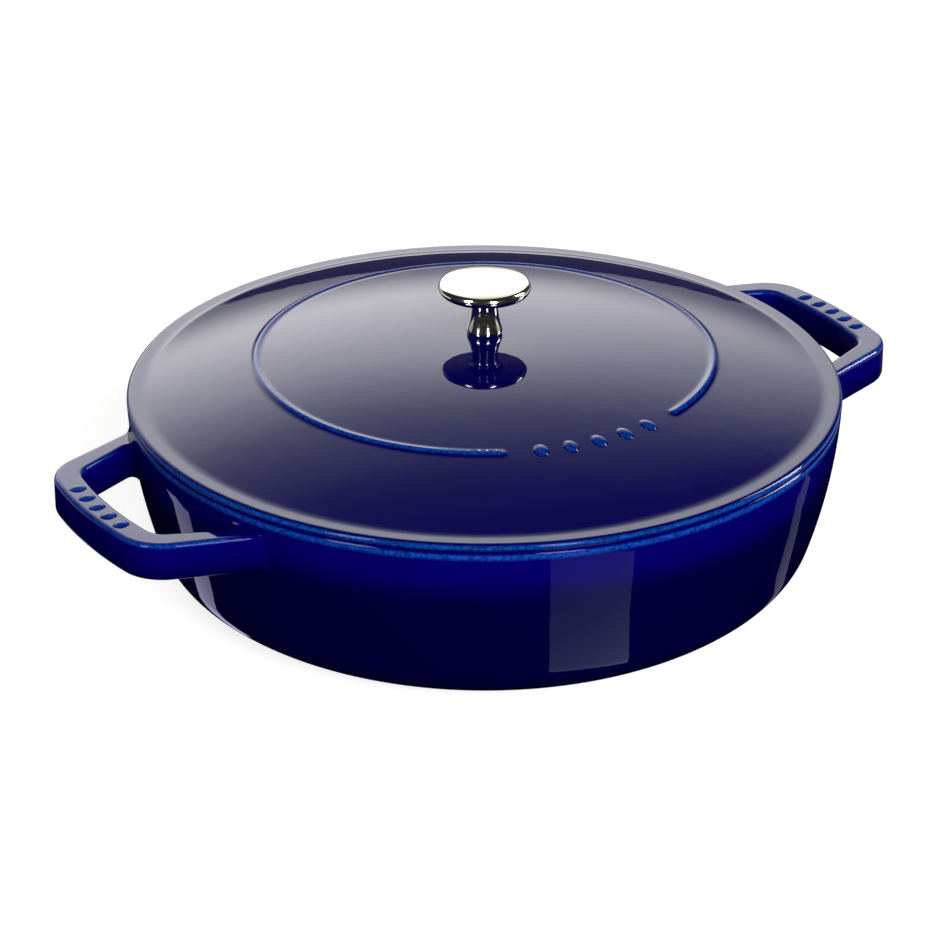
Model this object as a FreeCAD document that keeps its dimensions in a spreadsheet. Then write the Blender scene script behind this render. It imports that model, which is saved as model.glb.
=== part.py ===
"""A shallow cast-iron braiser with two loop handles and a domed lid that lifts off by its knob.

The frame has +Z up and +X along the handles, with the origin at the middle of the pan's base. Sizes are in
millimetres. Every piece is drawn in its place: the pan, the lid and the four pieces of the knob's fixing.
"""
import FreeCAD, Part
import math
import os
import re

import Sketcher
from FreeCAD import Placement, Rotation, Vector

# Driving dimensions, in millimetres, degrees and counts.
DIMENSIONS = {
    # Pan
    "pan_rim_radius": 143.9,
    "pan_height": 78.0,
    "pan_wall": 4.5,
    "base_inset": 46.9,
    "heel_radius": 45.0,
    "heel_angle": 42.0,
    "corner_radius": 24.0,
    "wall_bulge_radius": 218.0,
    "rim_outer_round": 1.8,
    "rim_inner_round": 1.0,
    # Loop handles
    "handle_projection": 37.1,
    "handle_drop": 6.4,
    "handle_thickness": 16.0,
    "handle_root_half": 56.0,
    "handle_end_half": 39.5,
    "handle_root_depth": 4.3,
    "handle_bow_radius": 185.0,
    "bar_width": 11.6,
    "arm_width": 8.2,
    "handle_outer_corner": 20.0,
    "handle_inner_corner": 9.0,
    "handle_top_round": 2.0,
    "handle_bottom_round": 3.3,
    "handle_root_round": 4.0,
    # Lid
    "lid_overhang": 0.1,
    "lid_rise": 25.0,
    "lid_wall": 4.5,
    "brim_width": 7.5,
    "brim_thickness": 3.3,
    "brim_blend_radius": 12.0,
    "brim_top_round": 2.0,
    "brim_bottom_round": 1.0,
    "lip_clearance": 0.8,
    "lip_width": 4.0,
    "lip_depth": 5.0,
    "lip_round": 1.5,
    "fixing_pad_radius": 11.0,
    "fixing_pad_drop": 1.5,
    # Raised ring on the lid, open at the front
    "ring_radius": 92.0,
    "ring_bead_radius": 1.5,
    "ring_bead_sink": 0.5,
    "ring_gap_angle": 49.6,
    "lid_turn_angle": 3.8,
    # Seed-shaped studs in the ring's gap and on the handles
    "stud_count": 5,
    "lid_stud_half_length": 4.2,
    "handle_stud_half_length": 3.6,
    "stud_half_width": 2.4,
    "stud_half_height": 1.5,
    "stud_sink": 0.3,
    "lid_stud_pitch": 12.0,
    "handle_stud_pitch": 9.0,
    # Knob
    "knob_height": 24.4,
    "knob_cap_radius": 18.5,
    "knob_crown_drop": 4.4,
    "knob_edge_round": 2.3,
    "knob_flare_radius": 4.0,
    "knob_neck_radius": 5.3,
    "knob_neck_height": 13.5,
    "knob_foot_radius": 7.2,
    "knob_foot_bulge": 2.5,
    "knob_foot_height": 1.6,
    "knob_seat_margin": 0.5,
    "knob_bore_gap": 1.8,
    # Screw and washers under the lid
    "screw_radius": 3.0,
    "screw_length": 20.0,
    "screw_head_radius": 5.75,
    "screw_head_height": 3.6,
    "screw_head_round": 2.2,
    "screw_tip_bevel": 0.8,
    "slot_width": 1.5,
    "slot_depth": 1.8,
    "lid_bore_clearance": 0.3,
    "thread_clearance": 0.1,
    "washer_clearance": 0.25,
    "flat_washer_radius": 8.0,
    "flat_washer_thickness": 1.2,
    "spring_washer_radius": 5.6,
    "spring_washer_thickness": 1.6,
    "spring_washer_split_angle": 14.0,
    # Flat that is always left between two rounded edges
    "least_land": 0.2,
}

doc = FreeCAD.newDocument("braiser")
sheet = doc.addObject("Spreadsheet::Sheet", "Sizes")
for row, (alias, value) in enumerate(DIMENSIONS.items(), start=1):
    sheet.set(f"A{row}", alias)
    sheet.set(f"B{row}", str(value))
    sheet.setAlias(f"B{row}", alias)
doc.recompute()

TOLERANCE = 0.01


def size(alias):
    """A driving dimension, as the sheet holds it."""
    return float(sheet.get(alias))


def bound(expression):
    """An expression on the sheet's aliases, with each alias given its sheet's name."""
    return re.sub(r"\w+", lambda word: f"Sizes.{word[0]}" if word[0] in DIMENSIONS else word[0], expression)


def polar(centre, radius, angle):
    """The point at an angle, in degrees, on a circle in a sketch."""
    turn = math.radians(angle)
    return centre + Vector(math.cos(turn), math.sin(turn), 0) * radius


def circles_meet(centre_a, radius_a, centre_b, radius_b):
    """The two points where two circles cross."""
    across = centre_b - centre_a
    span = across.Length
    along = (span ** 2 + radius_a ** 2 - radius_b ** 2) / (2 * span)
    aside = math.sqrt(radius_a ** 2 - along ** 2)
    unit = across / span
    foot = centre_a + unit * along
    normal = Vector(-unit.y, unit.x, 0)
    return foot + normal * aside, foot - normal * aside


class Outline:
    """A closed outline of lines and arcs in a sketch of one body, with sizes bound to the sheet.

    A sketch counts its level axis as piece -1, its upright axis as piece -2 and an arc's centre as point 3.
    """

    def __init__(self, body, name, plane, height=None):
        self.sketch = body.newObject("Sketcher::SketchObject", name)
        support = next(item for item in body.Origin.OriginFeatures if item.Role == plane)
        self.sketch.AttachmentSupport = (support, "")
        self.sketch.MapMode = "FlatFace"
        self.ends = {}
        self.count = 0
        if height:
            self.sketch.setExpression("AttachmentOffset.Base.z", bound(height))

    def line(self, start, end):
        """A straight piece from one point to another."""
        piece = self.sketch.addGeometry(Part.LineSegment(start, end))
        self.ends[piece] = (1, 2)
        return piece

    def arc(self, centre, start, end, clockwise=False):
        """A round piece about a centre, from one point to another."""
        first, last = (end, start) if clockwise else (start, end)
        begin = math.atan2(first.y - centre.y, first.x - centre.x)
        finish = math.atan2(last.y - centre.y, last.x - centre.x)
        if finish <= begin:
            finish += 2 * math.pi
        circle = Part.Circle(centre, Vector(0, 0, 1), (first - centre).Length)
        piece = self.sketch.addGeometry(Part.ArcOfCircle(circle, begin, finish))
        self.ends[piece] = (2, 1) if clockwise else (1, 2)
        return piece

    def origin(self):
        return -1, 1

    def centre(self, piece):
        return piece, 3

    def start(self, piece):
        return piece, self.ends[piece][0]

    def end(self, piece):
        return piece, self.ends[piece][1]

    def join(self, pieces, smooth=()):
        """Joins each piece to the next, all the way round, in a smooth line after the named ones."""
        for here, after in zip(pieces, pieces[1:] + pieces[:1]):
            kind = "Tangent" if here in smooth else "Coincident"
            self.fix(kind, *self.end(here), *self.start(after))

    def fix(self, kind, *where):
        """A constraint without a size."""
        return self.sketch.addConstraint(Sketcher.Constraint(kind, *where))

    def on_level_axis(self, point):
        self.fix("PointOnObject", *point, -1)

    def on_upright_axis(self, point):
        self.fix("PointOnObject", *point, -2)

    def measure(self, kind, where, value, expression):
        """A constraint whose size follows an expression on the sheet."""
        number = self.sketch.addConstraint(Sketcher.Constraint(kind, *where, value))
        self.count += 1
        label = f"size_{self.count}"
        self.sketch.renameConstraint(number, label)
        self.sketch.setExpression(f"Constraints.{label}", bound(expression))

    def radius(self, piece, value, expression):
        self.measure("Radius", (piece,), value, expression)

    def across(self, point, value, expression):
        """The distance of a point from the sketch's upright axis."""
        self.measure("DistanceX", self.origin() + point, value, expression)

    def up(self, point, value, expression):
        """The distance of a point above the sketch's level axis."""
        self.measure("DistanceY", self.origin() + point, value, expression)


def new_body(label):
    body = doc.addObject("PartDesign::Body", label)
    body.Label = label
    return body


def turned(body, outline, name, angle=None):
    """A solid turned from an outline about the upright axis, all the way or evenly to both sides."""
    feature = body.newObject("PartDesign::Revolution", name)
    feature.Profile = outline.sketch
    feature.ReferenceAxis = (outline.sketch, ["V_Axis"])
    feature.Angle = 360
    if angle:
        feature.Midplane = True
        feature.setExpression("Angle", bound(angle))
    outline.sketch.Visibility = False
    doc.recompute()
    return feature


def rounded(body, base, name, test, expression):
    """Rounds the edges of a feature that pass a test."""
    found = [f"Edge{n}" for n, edge in enumerate(base.Shape.Edges, start=1) if test(edge)]
    if not found:
        raise RuntimeError(f"no edge for {name}")
    feature = body.newObject("PartDesign::Fillet", name)
    feature.Base = (base, found)
    feature.setExpression("Radius", bound(expression))
    doc.recompute()
    return feature


def near(value, wanted):
    return abs(value - wanted) < TOLERANCE


def middle(edge):
    """The point halfway along an edge."""
    return edge.valueAt((edge.FirstParameter + edge.LastParameter) / 2)


def level_at(edge, height):
    """Whether an edge lies level at a height."""
    return near(edge.BoundBox.ZMin, height) and near(edge.BoundBox.ZMax, height)


def rim_circle(height, radius):
    """A test for the level circle of a height and radius about the upright axis."""
    def test(edge):
        at = middle(edge)
        return level_at(edge, height) and near(math.hypot(at.x, at.y), radius)
    return test


# Pan: one casting of the bowl and both handles

def bowl_outline(body, name, inset, inset_expression):
    """Half the bowl's section, set in from its outside: floor, heel, corner, bulging wall and rim."""
    base = size("pan_rim_radius") - size("base_inset")
    heel = size("heel_radius") - inset
    corner = size("corner_radius") - inset
    bulge = size("wall_bulge_radius") - inset
    sweep = size("heel_angle")
    rim = Vector(size("pan_rim_radius") - inset, size("pan_height"), 0)
    floor_end = Vector(base, inset, 0)
    heel_centre = Vector(base, size("heel_radius"), 0)
    heel_end = polar(heel_centre, heel, sweep - 90)
    corner_centre = polar(heel_centre, heel - corner, sweep - 90)
    bulge_centre = min(circles_meet(corner_centre, bulge - corner, rim, bulge), key=lambda point: point.x)
    wall_start = bulge_centre + (corner_centre - bulge_centre).normalize() * bulge

    outline = Outline(body, name, "XZ_Plane")
    floor = outline.line(Vector(0, inset, 0), floor_end)
    heel_arc = outline.arc(heel_centre, floor_end, heel_end)
    corner_arc = outline.arc(corner_centre, heel_end, wall_start)
    wall_arc = outline.arc(bulge_centre, wall_start, rim)
    top = outline.line(rim, Vector(0, rim.y, 0))
    axis = outline.line(Vector(0, rim.y, 0), Vector(0, inset, 0))
    outline.join([floor, heel_arc, corner_arc, wall_arc, top, axis], smooth=[floor, heel_arc, corner_arc])
    outline.fix("Horizontal", floor)
    outline.fix("Horizontal", top)
    outline.fix("Vertical", axis)
    outline.on_upright_axis(outline.start(floor))
    if inset:
        outline.up(outline.start(floor), inset, inset_expression)
    else:
        outline.on_level_axis(outline.start(floor))
    outline.across(outline.end(floor), base, "pan_rim_radius - base_inset")
    outline.radius(heel_arc, heel, f"heel_radius - {inset_expression}")
    outline.measure("Angle", (heel_arc,), math.radians(sweep), "heel_angle")
    outline.radius(corner_arc, corner, f"corner_radius - {inset_expression}")
    outline.radius(wall_arc, bulge, f"wall_bulge_radius - {inset_expression}")
    outline.across(outline.end(wall_arc), rim.x, f"pan_rim_radius - {inset_expression}")
    outline.up(outline.end(wall_arc), rim.y, "pan_height")
    return outline


TOP_ROUND = "min(handle_top_round; arm_width / 2 - least_land)"
BOTTOM_ROUND = "min(handle_bottom_round; arm_width / 2 - least_land)"
BAR_CENTRE = "(pan_rim_radius + handle_projection - handle_bow_radius)"
ROOT = "sqrt((pan_rim_radius - handle_root_depth) ^ 2 - handle_root_half ^ 2)"


def handle_outline(body):
    """The two loops seen from above: outward arms, a bowed end bar and the finger gap between them."""
    root_half = size("handle_root_half")
    root = math.sqrt((size("pan_rim_radius") - size("handle_root_depth")) ** 2 - root_half ** 2)
    bow_centre = size("pan_rim_radius") + size("handle_projection") - size("handle_bow_radius")
    outer_bow = size("handle_bow_radius")
    inner_bow = outer_bow - size("bar_width")
    inner_root_half = root_half - size("arm_width")
    end_half = size("handle_end_half")
    inner_end_half = end_half - size("arm_width")
    outer_end = bow_centre + math.sqrt(outer_bow ** 2 - end_half ** 2)
    inner_end = bow_centre + math.sqrt(inner_bow ** 2 - inner_end_half ** 2)

    outline = Outline(body, "handle_loops", "XY_Plane", "pan_height - handle_drop")
    for side in (1, -1):
        centre = Vector(side * bow_centre, 0, 0)
        corners = [
            Vector(side * root, -side * root_half, 0),
            Vector(side * outer_end, -side * end_half, 0),
            Vector(side * outer_end, side * end_half, 0),
            Vector(side * root, side * root_half, 0),
            Vector(side * root, side * inner_root_half, 0),
            Vector(side * inner_end, side * inner_end_half, 0),
            Vector(side * inner_end, -side * inner_end_half, 0),
            Vector(side * root, -side * inner_root_half, 0),
        ]
        arm_a = outline.line(corners[0], corners[1])
        outer_bar = outline.arc(centre, corners[1], corners[2])
        arm_b = outline.line(corners[2], corners[3])
        foot_b = outline.line(corners[3], corners[4])
        gap_b = outline.line(corners[4], corners[5])
        inner_bar = outline.arc(centre, corners[5], corners[6], clockwise=True)
        gap_a = outline.line(corners[6], corners[7])
        foot_a = outline.line(corners[7], corners[0])
        outline.join([arm_a, outer_bar, arm_b, foot_b, gap_b, inner_bar, gap_a, foot_a])
        for bar, radius, expression in (
            (outer_bar, outer_bow, "handle_bow_radius"),
            (inner_bar, inner_bow, "handle_bow_radius - bar_width"),
        ):
            outline.on_level_axis(outline.centre(bar))
            outline.across(outline.centre(bar), centre.x, f"{side} * {BAR_CENTRE}")
            outline.radius(bar, radius, expression)
        for foot in (foot_a, foot_b):
            outline.fix("Vertical", foot)
            outline.across(outline.start(foot), side * root, f"{side} * {ROOT}")
        for lower, upper, value, expression in (
            (outline.start(arm_a), outline.end(arm_b), root_half, "handle_root_half"),
            (outline.end(gap_a), outline.start(gap_b), inner_root_half, "handle_root_half - arm_width"),
            (outline.end(arm_a), outline.start(arm_b), end_half, "handle_end_half"),
            (outline.start(gap_a), outline.end(gap_b), inner_end_half, "handle_end_half - arm_width"),
        ):
            outline.up(lower, -side * value, f"{-side} * ({expression})")
            outline.up(upper, side * value, f"{side} * ({expression})")
    return outline


def seed(body, name, place, length):
    """A low seed-shaped stud, sunk a little into the face that it stands on, long along its own X."""
    feature = body.newObject("PartDesign::AdditiveEllipsoid", name)
    feature.setExpression("Radius1", bound("stud_half_height"))
    feature.setExpression("Radius2", bound(length))
    feature.setExpression("Radius3", bound("stud_half_width"))
    feature.Placement = place
    doc.recompute()
    return feature


def row_places():
    """The places of the studs in a row, counted from its middle."""
    count = int(size("stud_count"))
    return [number - (count - 1) / 2 for number in range(count)]


pan = new_body("pan")
rim_radius = size("pan_rim_radius")
rim_height = size("pan_height")
handle_top = rim_height - size("handle_drop")
handle_bottom = handle_top - size("handle_thickness")
outer_half = size("handle_end_half")
inner_half = outer_half - size("arm_width")
bowl = turned(pan, bowl_outline(pan, "bowl_outside", 0, "0"), "bowl")
bowl_skin = bowl.Shape.Shells[0]

loops = pan.newObject("PartDesign::Pad", "loops")
loops.Profile = handle_outline(pan).sketch
loops.Reversed = True
loops.setExpression("Length", bound("handle_thickness"))
doc.recompute()


def on_bowl(edge):
    """Whether an edge lies on the bowl's outside."""
    return bowl_skin.distToShape(Part.Vertex(middle(edge)))[0] < TOLERANCE


def upright_at(half_width):
    """A test for the upright edges of the handles at a distance from their middle line."""
    def test(edge):
        box = edge.BoundBox
        upright = near(box.XLength, 0) and near(box.YLength, 0)
        return upright and near(abs(middle(edge).y), half_width)
    return test


def round_loop_at(height):
    """A test for the edges round a handle at a height, without those along the bowl."""
    def test(edge):
        return level_at(edge, height) and not on_bowl(edge)
    return test


def at_root(edge):
    """Whether an edge is where a handle's arm grows out of the bowl."""
    at = middle(edge)
    between = handle_bottom - TOLERANCE < at.z < handle_top + TOLERANCE
    return between and not near(at.y, 0) and on_bowl(edge)


outer_corners = rounded(pan, loops, "outer_corners", upright_at(outer_half), "handle_outer_corner")
inner_corners = rounded(pan, outer_corners, "inner_corners", upright_at(inner_half), "handle_inner_corner")
top_edges = rounded(pan, inner_corners, "top_edges", round_loop_at(handle_top), TOP_ROUND)
bottom_edges = rounded(pan, top_edges, "bottom_edges", round_loop_at(handle_bottom), BOTTOM_ROUND)
rounded(pan, bottom_edges, "handle_roots", at_root, "handle_root_round")

hollow = pan.newObject("PartDesign::Groove", "hollow")
hollow_outline = bowl_outline(pan, "bowl_inside", size("pan_wall"), "pan_wall")
hollow.Profile = hollow_outline.sketch
hollow.ReferenceAxis = (hollow_outline.sketch, ["V_Axis"])
hollow.Angle = 360
doc.recompute()
inner_rim_radius = rim_radius - size("pan_wall")
rim_outside = rounded(pan, hollow, "rim_outside", rim_circle(rim_height, rim_radius), "rim_outer_round")
rounded(pan, rim_outside, "rim_inside", rim_circle(rim_height, inner_rim_radius), "rim_inner_round")

bar_middle = size("handle_bow_radius") - size("bar_width") / 2
bow_centre_x = rim_radius + size("handle_projection") - size("handle_bow_radius")
for side, end in ((1, "right"), (-1, "left")):
    for number, step in enumerate(row_places(), start=1):
        across = step * size("handle_stud_pitch")
        along = bow_centre_x + math.sqrt(bar_middle ** 2 - across ** 2)
        place = Placement(Vector(side * along, across, handle_top - size("stud_sink")), Rotation())
        seed(pan, f"{end}_handle_stud_{number}", place, "handle_stud_half_length")


# Lid: one casting of the dome, brim, ring and locating lip

SEAT_RADIUS = "(knob_foot_radius + knob_seat_margin)"
LID_RADIUS = "(pan_rim_radius + lid_overhang)"
LID_TOP = "pan_height + lid_rise"
DOME_RUN = f"({LID_RADIUS} - brim_width - {SEAT_RADIUS})"
DOME_DROP = "(lid_rise - brim_thickness)"
DOME_RADIUS = f"({DOME_RUN} ^ 2 + {DOME_DROP} ^ 2) / (2 * {DOME_DROP})"
PAD_FACE = f"{LID_TOP} - lid_wall - fixing_pad_drop"
LIP_OUTER = "pan_rim_radius - pan_wall - lip_clearance"
BRIM_TOP_ROUND = "min(brim_top_round; brim_thickness - brim_bottom_round - least_land)"
LIP_ROUND = "min(lip_round; lip_width / 2 - least_land)"
seat_radius = size("knob_foot_radius") + size("knob_seat_margin")
lid_radius = rim_radius + size("lid_overhang")
lid_top = rim_height + size("lid_rise")
pad_height = lid_top - size("lid_wall") - size("fixing_pad_drop")
dome_run = lid_radius - size("brim_width") - seat_radius
dome_drop = size("lid_rise") - size("brim_thickness")
dome_radius = (dome_run ** 2 + dome_drop ** 2) / (2 * dome_drop)
dome_centre = Vector(seat_radius, lid_top - dome_radius, 0)


def dome_height(radius, inset=0):
    """The height of the dome's top face, or of a face set in below it, at a radius from the axis."""
    return dome_centre.y + math.sqrt((dome_radius - inset) ** 2 - (radius - dome_centre.x) ** 2)


def lid_outline(body):
    """Half the lid's section: knob seat, dome, blend, brim, rim seat, lip, underside and screw pad."""
    blend = size("brim_blend_radius")
    brim_top = rim_height + size("brim_thickness")
    blend_rise = brim_top + blend - dome_centre.y
    blend_run = math.sqrt((dome_radius + blend) ** 2 - blend_rise ** 2)
    blend_centre = Vector(dome_centre.x + blend_run, brim_top + blend, 0)
    dome_end = dome_centre + (blend_centre - dome_centre).normalize() * dome_radius
    bore = size("screw_radius") + size("lid_bore_clearance")
    seat = rim_height
    lip_outer = inner_rim_radius - size("lip_clearance")
    lip_inner = lip_outer - size("lip_width")
    lip_foot = seat - size("lip_depth")
    pad_radius = size("fixing_pad_radius")
    corners = {
        "bore_foot": Vector(bore, pad_height, 0),
        "bore_top": Vector(bore, lid_top, 0),
        "seat_edge": Vector(seat_radius, lid_top, 0),
        "dome_end": dome_end,
        "brim_start": Vector(blend_centre.x, brim_top, 0),
        "brim_edge": Vector(lid_radius, brim_top, 0),
        "brim_foot": Vector(lid_radius, seat, 0),
        "lip_root": Vector(lip_outer, seat, 0),
        "lip_foot": Vector(lip_outer, lip_foot, 0),
        "lip_inside": Vector(lip_inner, lip_foot, 0),
        "under_start": Vector(lip_inner, dome_height(lip_inner, size("lid_wall")), 0),
        "under_end": Vector(pad_radius, dome_height(pad_radius, size("lid_wall")), 0),
        "pad_edge": Vector(pad_radius, pad_height, 0),
    }
    outline = Outline(body, "lid_section", "XZ_Plane")
    bore_wall = outline.line(corners["bore_foot"], corners["bore_top"])
    knob_seat = outline.line(corners["bore_top"], corners["seat_edge"])
    dome_arc = outline.arc(dome_centre, corners["seat_edge"], corners["dome_end"], clockwise=True)
    blend_arc = outline.arc(blend_centre, corners["dome_end"], corners["brim_start"])
    brim = outline.line(corners["brim_start"], corners["brim_edge"])
    edge = outline.line(corners["brim_edge"], corners["brim_foot"])
    rim_seat = outline.line(corners["brim_foot"], corners["lip_root"])
    lip_outside = outline.line(corners["lip_root"], corners["lip_foot"])
    lip_bottom = outline.line(corners["lip_foot"], corners["lip_inside"])
    lip_inside = outline.line(corners["lip_inside"], corners["under_start"])
    under_arc = outline.arc(dome_centre, corners["under_start"], corners["under_end"])
    pad_side = outline.line(corners["under_end"], corners["pad_edge"])
    pad = outline.line(corners["pad_edge"], corners["bore_foot"])
    pieces = [
        bore_wall, knob_seat, dome_arc, blend_arc, brim, edge, rim_seat,
        lip_outside, lip_bottom, lip_inside, under_arc, pad_side, pad,
    ]
    outline.join(pieces, smooth=[knob_seat, dome_arc, blend_arc])
    for piece in (knob_seat, brim, rim_seat, lip_bottom, pad):
        outline.fix("Horizontal", piece)
    for piece in (bore_wall, edge, lip_outside, lip_inside, pad_side):
        outline.fix("Vertical", piece)
    outline.fix("Coincident", *outline.centre(under_arc), *outline.centre(dome_arc))
    outline.across(outline.start(bore_wall), bore, "screw_radius + lid_bore_clearance")
    outline.up(outline.end(bore_wall), lid_top, LID_TOP)
    outline.across(outline.end(knob_seat), seat_radius, SEAT_RADIUS)
    outline.radius(dome_arc, dome_radius, DOME_RADIUS)
    outline.radius(blend_arc, blend, "brim_blend_radius")
    outline.up(outline.end(brim), brim_top, "pan_height + brim_thickness")
    outline.across(outline.end(brim), lid_radius, LID_RADIUS)
    outline.up(outline.end(edge), seat, "pan_height")
    outline.across(outline.end(rim_seat), lip_outer, LIP_OUTER)
    outline.up(outline.end(lip_outside), lip_foot, "pan_height - lip_depth")
    outline.across(outline.end(lip_bottom), lip_inner, f"{LIP_OUTER} - lip_width")
    outline.radius(under_arc, dome_radius - size("lid_wall"), f"{DOME_RADIUS} - lid_wall")
    outline.across(outline.end(under_arc), pad_radius, "fixing_pad_radius")
    outline.up(outline.end(pad_side), pad_height, PAD_FACE)
    return outline


def ring_outline(body):
    """The round section of the raised ring, sunk into the dome on the side away from the ring's gap."""
    sink = size("ring_bead_sink")
    centre = Vector(size("ring_radius"), dome_height(size("ring_radius")) - sink, 0)
    run = f"(ring_radius - {SEAT_RADIUS})"
    dome = f"({DOME_RADIUS})"
    outline = Outline(body, "ring_section", "YZ_Plane")
    bead = outline.sketch.addGeometry(Part.Circle(centre, Vector(0, 0, 1), size("ring_bead_radius")))
    height = f"{LID_TOP} - {dome} + sqrt({dome} ^ 2 - {run} ^ 2) - ring_bead_sink"
    outline.across(outline.centre(bead), centre.x, "ring_radius")
    outline.up(outline.centre(bead), centre.y, height)
    outline.radius(bead, size("ring_bead_radius"), "ring_bead_radius")
    return outline


lid = new_body("lid")
casting = turned(lid, lid_outline(lid), "casting")
brim_height = rim_height + size("brim_thickness")
lip_foot_height = rim_height - size("lip_depth")
brim_top = rounded(lid, casting, "brim_top", rim_circle(brim_height, lid_radius), BRIM_TOP_ROUND)
brim_foot = rounded(lid, brim_top, "brim_foot", rim_circle(rim_height, lid_radius), "brim_bottom_round")
rounded(lid, brim_foot, "lip_edges", lambda edge: level_at(edge, lip_foot_height), LIP_ROUND)

turned(lid, ring_outline(lid), "ring", "360 - ring_gap_angle")
stud_turn = math.degrees(size("lid_stud_pitch") / size("ring_radius"))
stud_slope = math.degrees(math.asin((size("ring_radius") - seat_radius) / dome_radius))
stud_height = dome_height(size("ring_radius")) - size("stud_sink")
for number, step in enumerate(row_places(), start=1):
    turn = Rotation(Vector(0, 0, 1), step * stud_turn - 90)
    lean = Rotation(Vector(0, 1, 0), stud_slope)
    middle_point = turn.multVec(Vector(size("ring_radius"), 0, stud_height))
    seed(lid, f"lid_stud_{number}", Placement(middle_point, turn.multiply(lean)), "lid_stud_half_length")
lid.Placement = Placement(Vector(), Rotation(Vector(0, 0, -1), size("lid_turn_angle")))


# Heights of the knob's fixing, down from the lid's pad and up the screw

HEAD_FACE = f"{PAD_FACE} - flat_washer_thickness - spring_washer_thickness"
SCREW_TIP = f"{HEAD_FACE} + screw_length"
spring_top = pad_height - size("flat_washer_thickness")
head_face = spring_top - size("spring_washer_thickness")
head_foot = head_face - size("screw_head_height")
screw_tip = head_face + size("screw_length")


# Knob: a turned mushroom with a blind bore for the screw

def knob_outline(body):
    """Half the knob's section: foot, waisted neck, sloping underside, rounded edge and crown."""
    bore = size("screw_radius") + size("thread_clearance")
    bulge = size("knob_foot_bulge")
    bulge_centre = Vector(size("knob_foot_radius") - bulge, lid_top + size("knob_foot_height"), 0)
    foot_edge = Vector(bulge_centre.x + math.sqrt(bulge ** 2 - size("knob_foot_height") ** 2), lid_top, 0)
    neck_point = Vector(size("knob_neck_radius"), lid_top + size("knob_neck_height"), 0)
    overhang = neck_point.x - bulge_centre.x
    neck_rise = neck_point.y - bulge_centre.y
    neck = (overhang ** 2 + neck_rise ** 2 - bulge ** 2) / (2 * (bulge - overhang))
    neck_centre = neck_point + Vector(neck, 0, 0)
    waist = bulge_centre + (neck_centre - bulge_centre).normalize() * bulge
    flare = size("knob_flare_radius")
    flare_centre = neck_point + Vector(flare, 0, 0)
    edge = size("knob_edge_round")
    edge_height = lid_top + size("knob_height") - size("knob_crown_drop")
    edge_centre = Vector(size("knob_cap_radius") - edge, edge_height, 0)
    between = edge_centre - flare_centre
    slope = math.degrees(math.atan2(between.y, between.x) - math.asin((flare + edge) / between.Length))
    under_start = polar(flare_centre, flare, slope + 90)
    under_end = polar(edge_centre, edge, slope - 90)
    top = Vector(0, lid_top + size("knob_height"), 0)
    drop = top.y - edge_centre.y
    crown = (edge_centre.x ** 2 + drop ** 2 - edge ** 2) / (2 * (drop - edge))
    crown_centre = Vector(0, top.y - crown, 0)
    crown_edge = edge_centre + (edge_centre - crown_centre).normalize() * edge
    bore_end = screw_tip + size("knob_bore_gap")

    outline = Outline(body, "knob_section", "XZ_Plane")
    foot_face = outline.line(Vector(bore, lid_top, 0), foot_edge)
    bulge_arc = outline.arc(bulge_centre, foot_edge, waist)
    neck_arc = outline.arc(neck_centre, waist, neck_point, clockwise=True)
    flare_arc = outline.arc(flare_centre, neck_point, under_start, clockwise=True)
    underside = outline.line(under_start, under_end)
    edge_arc = outline.arc(edge_centre, under_end, crown_edge)
    crown_arc = outline.arc(crown_centre, crown_edge, top)
    axis = outline.line(top, Vector(0, bore_end, 0))
    bore_top = outline.line(Vector(0, bore_end, 0), Vector(bore, bore_end, 0))
    bore_wall = outline.line(Vector(bore, bore_end, 0), Vector(bore, lid_top, 0))
    pieces = [
        foot_face, bulge_arc, neck_arc, flare_arc, underside,
        edge_arc, crown_arc, axis, bore_top, bore_wall,
    ]
    outline.join(pieces, smooth=[bulge_arc, neck_arc, flare_arc, underside, edge_arc])
    outline.fix("Horizontal", foot_face)
    outline.fix("Horizontal", bore_top)
    outline.fix("Vertical", axis)
    outline.fix("Vertical", bore_wall)
    outline.fix("Horizontal", *outline.centre(neck_arc), *outline.end(neck_arc))
    outline.on_upright_axis(outline.centre(crown_arc))
    outline.on_upright_axis(outline.start(axis))
    outline.up(outline.start(foot_face), lid_top, LID_TOP)
    outline.across(outline.start(foot_face), bore, "screw_radius + thread_clearance")
    outline.across(outline.centre(bulge_arc), bulge_centre.x, "knob_foot_radius - knob_foot_bulge")
    outline.up(outline.centre(bulge_arc), bulge_centre.y, f"{LID_TOP} + knob_foot_height")
    outline.radius(bulge_arc, bulge, "knob_foot_bulge")
    outline.across(outline.end(neck_arc), neck_point.x, "knob_neck_radius")
    outline.up(outline.end(neck_arc), neck_point.y, f"{LID_TOP} + knob_neck_height")
    outline.radius(flare_arc, flare, "knob_flare_radius")
    outline.across(outline.centre(edge_arc), edge_centre.x, "knob_cap_radius - knob_edge_round")
    outline.up(outline.centre(edge_arc), edge_centre.y, f"{LID_TOP} + knob_height - knob_crown_drop")
    outline.radius(edge_arc, edge, "knob_edge_round")
    outline.up(outline.start(axis), top.y, f"{LID_TOP} + knob_height")
    outline.up(outline.end(axis), bore_end, f"{SCREW_TIP} + knob_bore_gap")
    return outline


knob = new_body("knob")
turned(knob, knob_outline(knob), "turning")


# Screw from below, with a slotted round head

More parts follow.
